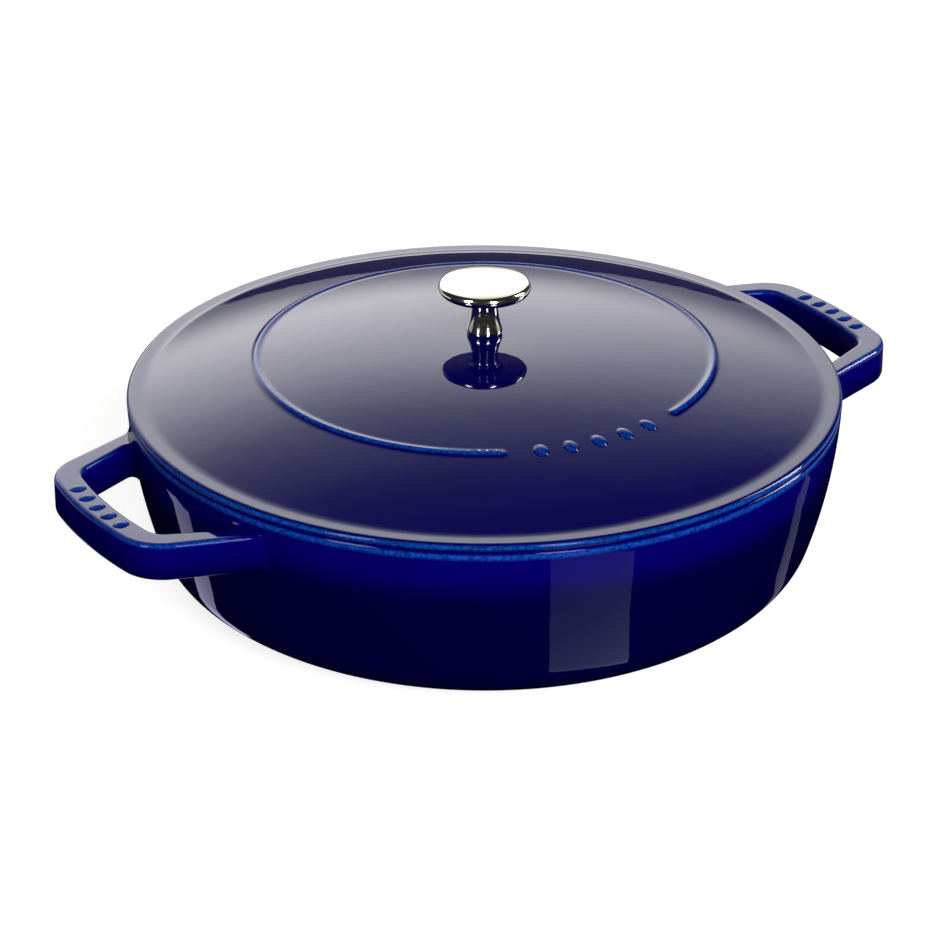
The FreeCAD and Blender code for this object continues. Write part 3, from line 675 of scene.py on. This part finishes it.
def ring_shape(radius, turn):
    """How far the raised ring stands up at a place on the lid, from 0 to 1, with rounded ends at its gap."""
    half_gap = math.radians(RING_GAP / 2)
    middle = math.radians(-90 - LID_TURN)
    from_gap = abs((turn - middle + math.pi) % (2 * math.pi) - math.pi)
    beyond = max(0.0, half_gap - from_gap) * RING_RADIUS
    away = math.hypot(radius - RING_RADIUS, beyond)
    return math.exp(-(away / RING_HALF_WIDTH) ** 2)


def spaced(start, end, step):
    """Values from a start in even steps, up to an end and without it."""
    return [start + step * k for k in range(math.ceil((end - start) / step))]


def lid_outline():
    """The lid's whole section, and the number of its points that the blue enamel covers."""
    blend_centre = Vector((0, BRIM_TOP + BRIM_BLEND))
    rise = blend_centre.y - DOME_CENTRE.y
    blend_centre.x = DOME_CENTRE.x + math.sqrt((DOME_RADIUS + BRIM_BLEND) ** 2 - rise ** 2)
    dome_end = DOME_CENTRE + (blend_centre - DOME_CENTRE).normalized() * DOME_RADIUS
    lip_outer = RIM_RADIUS - PAN_WALL - LIP_CLEARANCE
    lip_inner = lip_outer - LIP_WIDTH
    lip_foot = RIM_HEIGHT - LIP_DEPTH
    pad_face = LID_TOP - LID_WALL - PAD_DROP
    inner_step, ring_step, outer_step, under_steps = 6.0, 0.25, 5.0, 24
    ring_start, ring_end = RING_RADIUS - 4.0, RING_RADIUS + 4.0
    radii = [
        *spaced(SEAT_RADIUS, ring_start, inner_step),
        *spaced(ring_start, ring_end, ring_step),
        *spaced(ring_end, dome_end.x - 1.0, outer_step),
    ]
    dome = [Vector((r, dome_height(r))) for r in radii]
    blend = arc(blend_centre, BRIM_BLEND, heading(blend_centre, dome_end), -90)
    edge_top = Vector((LID_RADIUS, BRIM_TOP))
    edge_foot = Vector((LID_RADIUS, RIM_HEIGHT))
    lip = [
        Vector((lip_outer, RIM_HEIGHT)),
        Vector((lip_outer, lip_foot)),
        Vector((lip_inner, lip_foot)),
        Vector((lip_inner, dome_height(lip_inner, LID_WALL))),
    ]
    blue = [
        Vector((LID_BORE, LID_TOP)),
        *dome,
        *blend,
        *fillet(blend[-1], edge_top, edge_foot, BRIM_TOP_ROUND),
        *fillet(edge_top, edge_foot, lip[0], BRIM_BOTTOM_ROUND),
    ]
    under = [lip_inner + (PAD_RADIUS - lip_inner) * (k + 1) / under_steps for k in range(under_steps)]
    black = [
        lip[0] + Vector((SUPPORT, 0)),
        lip[0],
        *fillet(lip[0], lip[1], lip[2], LIP_ROUND),
        *fillet(lip[1], lip[2], lip[3], LIP_ROUND),
        lip[3],
        *[Vector((r, dome_height(r, LID_WALL))) for r in under],
        Vector((PAD_RADIUS, pad_face)),
        Vector((PAD_RADIUS - SUPPORT, pad_face)),
        Vector((LID_BORE, pad_face)),
    ]
    return [*blue, *black], len(blue)


def make_lid():
    """The lid's casting, blue on top and over its brim and black below."""
    outline, blue_count = lid_outline()

    def lift(at, turn):
        """How far the ring raises a point of the top face."""
        on_top = at.y > dome_height(at.x, LID_WALL / 2)
        return RING_HEIGHT * ring_shape(at.x, turn) if on_top else 0.0

    points, faces, places = lathe(outline, LID_SEGMENTS, closed=True, lift=lift)
    piece = mesh_object("lid_casting", points, faces, [lid_enamel, black_enamel])
    for face, place in zip(piece.data.polygons, places):
        face.material_index = int(place >= blue_count - 1)

    def thin(at):
        """Where the glaze is thin: round the brim's edge and on the ring."""
        radius = math.hypot(at.x, at.y)
        if radius > LID_RADIUS - BRIM_THICKNESS:
            return glaze_line(RIM_HEIGHT + BRIM_GLAZE[0], BRIM_TOP - BRIM_GLAZE[1], at.z)
        return RING_GLAZE * smooth_step(0.2, 0.8, ring_shape(radius, math.atan2(at.y, at.x)))

    paint(piece, thin)
    dress(piece, "lid", "blue_enamel_lid", "lid")


make_lid()


# Seed-shaped studs and the basting bumps, set out by node trees

def mound(rings, reach, height, around, sink=0.0):
    """Points and faces of a closed mound.

    Its rings are (share of its reach, share of its height) pairs, from its foot up.
    """
    points = []
    for share, rise in rings:
        for number in range(around):
            turn = 2 * math.pi * number / around
            at = reach * share
            points.append((at.x * math.cos(turn), at.y * math.sin(turn), height * rise - sink))
    points.append((0, 0, height - sink))
    top = len(points) - 1
    last = top - around
    faces = bands(len(rings), around)
    faces += [[last + number, last + (number + 1) % around, top] for number in range(around)]
    faces.append(list(reversed(range(around))))
    return points, faces


def seed_mesh(name, half_length, material):
    """One seed lying along X, swelling out of the face that it stands on."""
    rings = [(1.0, 0.0), (0.9, 0.16), (0.78, 0.42), (0.62, 0.68), (0.44, 0.86), (0.22, 0.97)]
    reach = Vector((half_length + STUD_FLARE, STUD_HALF_WIDTH + STUD_FLARE))
    piece = mesh_object(name, *mound(rings, reach, STUD_HEIGHT, STUD_SEGMENTS, STUD_SINK), [material])
    paint(piece, lambda at: STUD_GLAZE * glaze_line(0.05, 1.2, at.z / STUD_HEIGHT))
    return piece


def new_tree(name, inputs):
    """A node tree for geometry, with named inputs of the given kinds."""
    tree = bpy.data.node_groups.new(name, "GeometryNodeTree")
    tree.interface.new_socket("Geometry", in_out="INPUT", socket_type="NodeSocketGeometry")
    tree.interface.new_socket("Geometry", in_out="OUTPUT", socket_type="NodeSocketGeometry")
    for label, kind in inputs.items():
        tree.interface.new_socket(label, in_out="INPUT", socket_type=f"NodeSocket{kind}")
    return tree, add(tree, "NodeGroupInput").outputs


def stand(tree, shape, spots, turn, lean):
    """Copies of a shape on points, each turned round the upright axis and leaning outwards."""
    facing = add(tree, "FunctionNodeAxisAngleToRotation", {"Axis": (0, 0, 1), "Angle": turn})
    tilt = add(tree, "FunctionNodeAxisAngleToRotation", {"Axis": (0, 1, 0), "Angle": lean})
    pose = add(
        tree, "FunctionNodeRotateRotation",
        {"Rotation": facing.outputs[0], "Rotate By": tilt.outputs[0]},
        rotation_space="LOCAL",
    )
    inputs = {"Points": spots, "Instance": shape, "Rotation": pose.outputs[0]}
    return add(tree, "GeometryNodeInstanceOnPoints", inputs).outputs["Instances"]


def close(tree, copies, finish):
    """Ends a node tree with its copies as one mesh in one material."""
    solid = add(tree, "GeometryNodeRealizeInstances", {"Geometry": copies})
    finished = add(
        tree, "GeometryNodeSetMaterial",
        {"Geometry": solid.outputs["Geometry"], "Material": finish},
    )
    add(tree, "NodeGroupOutput", {"Geometry": finished.outputs["Geometry"]})


def grow(piece, tree, values):
    """Runs a node tree on a piece and keeps the result as its plain mesh."""
    modifier = piece.modifiers.new(tree.name, "NODES")
    modifier.node_group = tree
    names = {item.name: item.identifier for item in tree.interface.items_tree if item.in_out == "INPUT"}
    for label, value in values.items():
        modifier[names[label]] = value
    ready = piece.evaluated_get(bpy.context.evaluated_depsgraph_get())
    mesh = bpy.data.meshes.new_from_object(ready)
    piece.modifiers.clear()
    piece.data = mesh
    mesh.name = piece.name


def stud_row_tree():
    """Seeds in a row along an arc, lying across it, with a second row at the part's other end if asked."""
    inputs = {
        "Count": "Int", "Pitch": "Float", "Arc radius": "Float", "Arc centre": "Vector",
        "Row middle": "Float", "Lean": "Float", "Both ends": "Bool", "Finish": "Material",
    }
    tree, given = new_tree("stud_row", inputs)
    step = reckon(tree, "DIVIDE", given["Pitch"], given["Arc radius"])
    gaps = reckon(tree, "SUBTRACT", given["Count"], 1.0)
    sweep = reckon(tree, "MULTIPLY", step, gaps)
    half = reckon(tree, "MULTIPLY", sweep, 0.5)
    start = reckon(tree, "SUBTRACT", given["Row middle"], half)
    row = add(
        tree, "GeometryNodeCurveArc",
        {
            "Resolution": given["Count"], "Radius": given["Arc radius"],
            "Start Angle": start, "Sweep Angle": sweep,
        },
        mode="RADIUS",
    )
    spots = add(tree, "GeometryNodeCurveToPoints", {"Curve": row.outputs["Curve"]}, mode="EVALUATED")
    where = add(tree, "ShaderNodeSeparateXYZ", {0: add(tree, "GeometryNodeInputPosition").outputs[0]})
    turn = reckon(tree, "ARCTAN2", where.outputs["Y"], where.outputs["X"])
    seeds = stand(tree, given["Geometry"], spots.outputs["Points"], turn, given["Lean"])
    seated = add(
        tree, "GeometryNodeTransform",
        {"Geometry": seeds, "Translation": given["Arc centre"]},
    )
    opposite = add(
        tree, "GeometryNodeTransform",
        {"Geometry": seated.outputs["Geometry"], "Rotation": (0, 0, math.pi)},
    )
    second = add(
        tree, "GeometryNodeSwitch",
        {"Switch": given["Both ends"], "True": opposite.outputs["Geometry"]},
        input_type="GEOMETRY",
    )
    rows = add(tree, "GeometryNodeJoinGeometry")
    tree.links.new(seated.outputs["Geometry"], rows.inputs["Geometry"])
    tree.links.new(second.outputs["Output"], rows.inputs["Geometry"])
    close(tree, rows.outputs["Geometry"], given["Finish"])
    return tree


def make_studs():
    """A row of seeds on each handle and one in the gap of the lid's ring."""
    tree = stud_row_tree()
    bar_middle = BOW_RADIUS - BAR_WIDTH / 2
    dome_slope = math.asin((RING_RADIUS - SEAT_RADIUS) / DOME_RADIUS)
    on_handles = seed_mesh("pan_studs", HANDLE_STUD_HALF_LENGTH - STUD_FLARE, pan_enamel)
    grow(on_handles, tree, {
        "Count": STUD_COUNT, "Pitch": HANDLE_STUD_PITCH * MM, "Arc radius": bar_middle * MM,
        "Arc centre": (BOW_CENTRE * MM, 0.0, HANDLE_TOP * MM),
        "Row middle": 0.0, "Lean": 0.0, "Both ends": True, "Finish": pan_enamel,
    })
    dress(on_handles, "pan", "blue_enamel_pan")
    on_lid = seed_mesh("lid_studs", LID_STUD_HALF_LENGTH - STUD_FLARE, lid_enamel)
    grow(on_lid, tree, {
        "Count": STUD_COUNT, "Pitch": LID_STUD_PITCH * MM, "Arc radius": RING_RADIUS * MM,
        "Arc centre": (0.0, 0.0, dome_height(RING_RADIUS) * MM),
        "Row middle": math.radians(-90 - LID_TURN), "Lean": dome_slope,
        "Both ends": False, "Finish": lid_enamel,
    })
    dress(on_lid, "lid", "blue_enamel_lid")


make_studs()


def bump_mesh(name, material):
    """One low round bump that hangs down, with its rim sunk into the face above it."""
    rings = [(1.0, -0.35), (0.86, 0.5), (0.5, 0.88)]
    reach = Vector((BUMP_RADIUS, BUMP_RADIUS))
    return mesh_object(name, *mound(rings, reach, -BUMP_HEIGHT, BUMP_SEGMENTS), [material])


def bump_rings_tree():
    """Bumps in rings on a domed face, with eight more on each ring outwards."""
    inputs = {
        "Rings": "Int", "Ring pitch": "Float", "Face radius": "Float",
        "Face centre": "Vector", "Finish": "Material",
    }
    tree, given = new_tree("bump_rings", inputs)

    def work(operation, *values):
        """The result of one sum in this tree."""
        return reckon(tree, operation, *values)

    rings_after = work("ADD", given["Rings"], 1.0)
    total = work("MULTIPLY", work("MULTIPLY", given["Rings"], rings_after), 4.0)
    number = add(tree, "GeometryNodeInputIndex").outputs[0]
    root = work("SQRT", work("ADD", number, 1.0))
    ring = work("FLOOR", work("MULTIPLY", work("ADD", root, 1.0), 0.5))
    before = work("MULTIPLY", work("MULTIPLY", ring, work("SUBTRACT", ring, 1.0)), 4.0)
    turn = work("MULTIPLY", work("DIVIDE", work("SUBTRACT", number, before), ring), math.pi / 4)
    reach = work("MULTIPLY", ring, given["Ring pitch"])
    centre = add(tree, "ShaderNodeSeparateXYZ", {0: given["Face centre"]})
    run = work("SUBTRACT", reach, centre.outputs["X"])
    lean = work("ARCSINE", work("DIVIDE", run, given["Face radius"]))
    rise = work("MULTIPLY", given["Face radius"], work("COSINE", lean))
    place = add(
        tree, "ShaderNodeCombineXYZ",
        {
            "X": work("MULTIPLY", reach, work("COSINE", turn)),
            "Y": work("MULTIPLY", reach, work("SINE", turn)),
            "Z": work("ADD", centre.outputs["Z"], rise),
        },
    )
    spots = add(tree, "GeometryNodePoints", {"Count": total, "Position": place.outputs[0]})
    bumps = stand(tree, given["Geometry"], spots.outputs[0], turn, lean)
    close(tree, bumps, given["Finish"])
    return tree


def make_bumps():
    """Basting bumps under the lid, where drops gather and fall back."""
    bumps = bump_mesh("lid_basting_bumps", black_enamel)
    grow(bumps, bump_rings_tree(), {
        "Rings": BUMP_RINGS, "Ring pitch": BUMP_RING_PITCH * MM,
        "Face radius": (DOME_RADIUS - LID_WALL) * MM,
        "Face centre": (DOME_CENTRE.x * MM, 0.0, DOME_CENTRE.y * MM), "Finish": black_enamel,
    })
    dress(bumps, "lid", "blue_enamel_lid")


make_bumps()


# Knob: a turned and polished mushroom

def make_knob():
    """The knob, turned from its bore out over the foot, neck, flare and cap."""
    bulge_at = Vector((KNOB_FOOT_RADIUS - KNOB_FOOT_BULGE, KNOB_FOOT_HEIGHT))
    foot_edge = Vector((bulge_at.x + math.sqrt(KNOB_FOOT_BULGE ** 2 - KNOB_FOOT_HEIGHT ** 2), 0))
    neck_point = Vector((KNOB_NECK_RADIUS, KNOB_NECK_HEIGHT))
    overhang = neck_point.x - bulge_at.x
    rise = neck_point.y - bulge_at.y
    neck = (overhang ** 2 + rise ** 2 - KNOB_FOOT_BULGE ** 2) / (2 * (KNOB_FOOT_BULGE - overhang))
    neck_at = neck_point + Vector((neck, 0))
    flare_at = neck_point + Vector((KNOB_FLARE, 0))
    edge_at = Vector((KNOB_CAP_RADIUS - KNOB_EDGE_ROUND, KNOB_HEIGHT - KNOB_CROWN_DROP))
    lean = math.asin((KNOB_FLARE + KNOB_EDGE_ROUND) / (edge_at - flare_at).length)
    slope = heading(flare_at, edge_at) - math.degrees(lean)
    drop = KNOB_HEIGHT - edge_at.y
    crown = (edge_at.x ** 2 + drop ** 2 - KNOB_EDGE_ROUND ** 2) / (2 * (drop - KNOB_EDGE_ROUND))
    crown_at = Vector((0, KNOB_HEIGHT - crown))
    waist = heading(bulge_at, neck_at)
    top_edge = heading(crown_at, edge_at)
    outline = [
        Vector((0, KNOB_BORE_TOP)),
        Vector((KNOB_BORE, KNOB_BORE_TOP)),
        Vector((KNOB_BORE, 0)),
        Vector((foot_edge.x - SUPPORT, 0)),
        *arc(bulge_at, KNOB_FOOT_BULGE, heading(bulge_at, foot_edge), waist, 5),
        *arc(neck_at, neck, 180 + waist, 180)[1:],
        *arc(flare_at, KNOB_FLARE, 180, slope + 90, 4)[1:],
        *arc(edge_at, KNOB_EDGE_ROUND, slope - 90, top_edge, 6),
        *arc(crown_at, crown, top_edge, 90, 2)[1:-1],
        Vector((0, KNOB_HEIGHT)),
    ]
    raised = [Vector((at.x, LID_TOP + at.y)) for at in outline]
    points, faces, _ = lathe(raised, KNOB_SEGMENTS)
    piece = mesh_object("knob_turning", points, faces, [nickel])
    dress(piece, "lid", "polished_knob", "knob")


make_knob()
for fixing in ("knob_screw", "flat_washer", "spring_washer"):
    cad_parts[fixing].data.materials.clear()
    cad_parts[fixing].data.materials.append(stainless)


# Stage: a pale floor, a soft panel behind, cards that only gloss shows as painted reflections, the lamps and
# the camera

def toward(azimuth, elevation):
    """A direction from the part, with azimuth 0 towards -Y and 90 towards +X, as the views count it."""
    a, e = math.radians(azimuth), math.radians(elevation)
    return Vector((math.sin(a) * math.cos(e), -math.cos(a) * math.cos(e), math.sin(e)))


def make_floor():
    """A wide matt board that glows in a pool round the part, so that it reads as white; the glow fades out
    near the part's axis, a painted contact shadow.
    """
    cloud_size = 300
    mesh = bpy.data.meshes.new("floor")
    corners = [(x * FLOOR_REACH, y * FLOOR_REACH, 0) for x, y in ((-1, -1), (1, -1), (1, 1), (-1, 1))]
    mesh.from_pydata(corners, [], [(0, 1, 2, 3)])
    floor = bpy.data.objects.new("floor", mesh)
    bpy.context.scene.collection.objects.link(floor)
    material, tree, shader, place = new_material("matt_white_board")
    cloud = noise(tree, place, cloud_size, 2.0)
    path = add(tree, "ShaderNodeLightPath").outputs
    seen = reckon(tree, "ADD", path["Is Camera Ray"], path["Is Glossy Ray"])
    shown = reckon(tree, "ADD", seen, path["Is Transmission Ray"])
    middle = -toward(CAMERA_AZIMUTH, 0) * POOL_SETBACK
    far = add(tree, "ShaderNodeVectorMath", {0: place, 1: middle}, operation="DISTANCE")
    pool = add(
        tree, "ShaderNodeMapRange",
        {
            "Value": far.outputs["Value"], "From Min": POOL_REACH[0], "From Max": POOL_REACH[1],
            "To Min": FLOOR_GLOW, "To Max": 0.0,
        },
        interpolation_type="SMOOTHSTEP",
    )
    # painted contact shadow: the glow fades to nothing near the part's axis
    from_axis = add(tree, "ShaderNodeVectorMath", {0: place}, operation="LENGTH")
    clear = add(
        tree, "ShaderNodeMapRange",
        {"Value": from_axis.outputs["Value"], "From Min": PAINTED_SHADOW_REACH[0], "From Max": PAINTED_SHADOW_REACH[1]},
        interpolation_type="SMOOTHSTEP",
    )
    lit = reckon(tree, "MULTIPLY", pool.outputs["Result"], clear.outputs["Result"])
    plug(tree, shader, {
        "Base Color": mix(tree, cloud.outputs["Fac"], colour("#cacaca"), colour("#cecece")),
        "Roughness": 0.9,
        "Specular IOR Level": 0.1,
        "Emission Color": (1, 1, 1, 1),
        "Emission Strength": reckon(tree, "MULTIPLY", shown, lit),
    })
    mesh.materials.append(material)


def make_world():
    """A soft panel low behind the part, fading upwards and to the sides, that gloss shows in a dim room.

    Matt light comes evenly from all round, as from a tent, so that shadows stay soft.
    """
    world = bpy.data.worlds.new("studio")
    bpy.context.scene.world = world
    world.use_nodes = True
    tree = world.node_tree
    tree.nodes.clear()
    way = add(tree, "ShaderNodeTexCoord").outputs["Generated"]
    up = add(tree, "ShaderNodeSeparateXYZ", {0: way}).outputs["Z"]
    level_way = add(tree, "ShaderNodeVectorMath", {0: way, 1: (1, 1, 0)}, operation="MULTIPLY")
    unit = add(tree, "ShaderNodeVectorMath", {0: level_way.outputs["Vector"]}, operation="NORMALIZE")
    middle = -toward(CAMERA_AZIMUTH + PANEL_TURN, 0)
    aligned = add(
        tree, "ShaderNodeVectorMath",
        {0: unit.outputs["Vector"], 1: middle},
        operation="DOT_PRODUCT",
    )
    wide = add(
        tree, "ShaderNodeMapRange",
        {
            "Value": aligned.outputs["Value"], "From Min": math.cos(math.radians(PANEL_HALF_WIDTH)),
            "From Max": math.cos(math.radians(PANEL_FULL_WIDTH)),
        },
    )
    fade = add(tree, "ShaderNodeValToRGB", {"Fac": up})
    fade.color_ramp.interpolation = "B_SPLINE"
    for number, (at, share) in enumerate(PANEL_FADE):
        stop = fade.color_ramp.elements[number] if number < 2 else fade.color_ramp.elements.new(at)
        stop.position = at
        stop.color = (share, share, share, 1)
    panel = reckon(tree, "MULTIPLY", wide.outputs["Result"], fade.outputs["Color"])
    level = reckon(tree, "MULTIPLY_ADD", panel, PANEL_LEVEL, ROOM_LEVEL)
    path = add(tree, "ShaderNodeLightPath")
    strength = add(
        tree, "ShaderNodeMix",
        {"Factor": path.outputs["Is Diffuse Ray"], "A": level, "B": TENT_LEVEL},
    )
    light = add(tree, "ShaderNodeBackground", {"Color": colour("#fffefb"), "Strength": strength.outputs[0]})
    add(tree, "ShaderNodeOutputWorld", {"Surface": light.outputs["Background"]})


def make_card(name, lift, level, tint, corners):
    """A card on the floor that shows only in gloss, lit or dark: a painted reflection, which lights nothing
    and casts no shadow.

    Its corners are millimetres to the right of the part and away from the camera.
    """
    turn = math.radians(CAMERA_AZIMUTH)
    right = Vector((math.cos(turn), math.sin(turn), 0))
    away = Vector((-math.sin(turn), math.cos(turn), 0))
    mesh = bpy.data.meshes.new(name)
    points = [(right * x + away * y + Vector((0, 0, lift))) * MM for x, y in corners]
    mesh.from_pydata(points, [], [list(range(len(points)))])
    card = bpy.data.objects.new(name, mesh)
    bpy.context.scene.collection.objects.link(card)
    material, tree, shader, _ = new_material(f"matt_{name}")
    plug(tree, shader, {
        "Base Color": colour("#0a0a0c"),
        "Specular IOR Level": 0.0,
        "Emission Color": colour(tint),
        "Emission Strength": level,
    })
    mesh.materials.append(material)
    for ray in ("camera", "diffuse", "transmission", "shadow"):
        setattr(card, f"visible_{ray}", False)


def make_key_light():
    """The even light from in front that shows the glaze's own colour, with soft shadows and no glint."""
    lamp = bpy.data.lights.new("key_light", "SUN")
    lamp.energy = KEY_STRENGTH
    lamp.angle = math.radians(KEY_SOFTNESS)
    holder = bpy.data.objects.new("key_light", lamp)
    way = toward(CAMERA_AZIMUTH + KEY_TURN, KEY_ELEVATION)
    holder.rotation_euler = way.to_track_quat("Z", "Y").to_euler()
    holder.visible_glossy = False
    bpy.context.scene.collection.objects.link(holder)


def make_strip_lamp(name, turn):
    """A tall lamp outside the picture that faces the part and shows only as a sparkle in its gloss."""
    lamp = bpy.data.lights.new(name, "AREA")
    lamp.shape = "ELLIPSE"
    lamp.size, lamp.size_y = STRIP_SIZE
    lamp.energy = STRIP_WATTS
    holder = bpy.data.objects.new(name, lamp)
    way = toward(CAMERA_AZIMUTH + turn, STRIP_ELEVATION)
    holder.location = way * STRIP_DISTANCE
    holder.rotation_euler = way.to_track_quat("Z", "Y").to_euler()
    holder.visible_camera = False
    holder.visible_diffuse = False
    bpy.context.scene.collection.objects.link(holder)


def make_camera():
    """The camera of the photograph."""
    data = bpy.data.cameras.new("camera")
    data.lens = CAMERA_LENS
    data.sensor_width = 36.0
    camera = bpy.data.objects.new("camera", data)
    way = toward(CAMERA_AZIMUTH, CAMERA_ELEVATION)
    camera.location = (Vector(CAMERA_TARGET) + way * CAMERA_DISTANCE) * MM
    camera.rotation_euler = way.to_track_quat("Z", "Y").to_euler()
    bpy.context.scene.collection.objects.link(camera)
    bpy.context.scene.camera = camera


# Stage values: levels, angles in degrees and lengths in metres

FLOOR_REACH = 9.0
FLOOR_GLOW = 0.76
POOL_SETBACK = 0.26
POOL_REACH = (0.56, 0.9)
PAINTED_SHADOW_REACH = (0.085, 0.108)

PANEL_LEVEL = 5.9
PANEL_TURN = 12.0
PANEL_FULL_WIDTH = 4.0
PANEL_HALF_WIDTH = 43.0
# The panel's brightness by the sine of the height above the level
PANEL_FADE = [
    (0.0, 0.08), (0.1, 0.21), (0.225, 0.82), (0.44, 1.0), (0.515, 0.92), (0.588, 0.75),
    (0.656, 0.53), (0.777, 0.26), (0.82, 0.156), (0.86, 0.12), (0.92, 0.056), (1.0, 0.025),
]
ROOM_LEVEL = 0.025
TENT_LEVEL = 0.26

# Lamps turn from the camera's side
KEY_TURN = 22
KEY_ELEVATION = 22
KEY_SOFTNESS = 35
KEY_STRENGTH = 3.35
STRIP_TURNS = {"left_strip_lamp": -42, "front_strip_lamp": 23, "right_strip_lamp": 106}
STRIP_ELEVATION = 27
STRIP_DISTANCE = 2.2
STRIP_SIZE = (0.5, 1.5)
STRIP_WATTS = 75

# Cards, painted reflections of lit panes and dark patches: height above the floor in millimetres, level, tint
# and corners
ROOM_GREY = "#d8d6d2"
PAINTED_PANE_BLUE = "#d4d4ff"
NEAR_ROUND = arc(Vector((0, 0)), 340, 0, 352.5, 7.5)
FRONT_HALF = arc(Vector((0, 0)), 8500, 180, 360, 7.5)
CARDS = {
    "dim_front": (0.1, 0.04, ROOM_GREY, FRONT_HALF),
    "dark_surround": (0.2, 0.0, ROOM_GREY, NEAR_ROUND),
    "dark_runner": (0.3, 0.08, ROOM_GREY, [(-330, 150), (330, 150), (1200, 4000), (-1200, 4000)]),
    "front_card": (0.6, 2.7, PAINTED_PANE_BLUE, [
        (67, -254), (107, -230), (139, -201), (92, -155), (63, -121), (47, -130), (29, -137), (44, -183),
    ]),
    "left_card": (0.6, 2.0, PAINTED_PANE_BLUE, [
        (-216, 2), (-207, -14), (-182, -28), (-150, -44), (-116, -58), (-98, -72),
        (-96, -79), (-112, -69), (-145, -64), (-180, -50), (-206, -40), (-215, -16),
    ]),
    "right_card": (0.6, 0.42, PAINTED_PANE_BLUE, [
        (231, 14), (210, -12), (170, -33), (143, -46), (117, -50), (114, -47), (134, -37), (161, -23),
        (195, -4), (219, 20),
    ]),
}

make_floor()
make_world()
for name, card in CARDS.items():
    make_card(name, *card)
make_key_light()
for name, turn in STRIP_TURNS.items():
    make_strip_lamp(name, turn)
make_camera()
bpy.context.scene.view_settings.view_transform = "Standard"

bpy.context.view_layer.update()
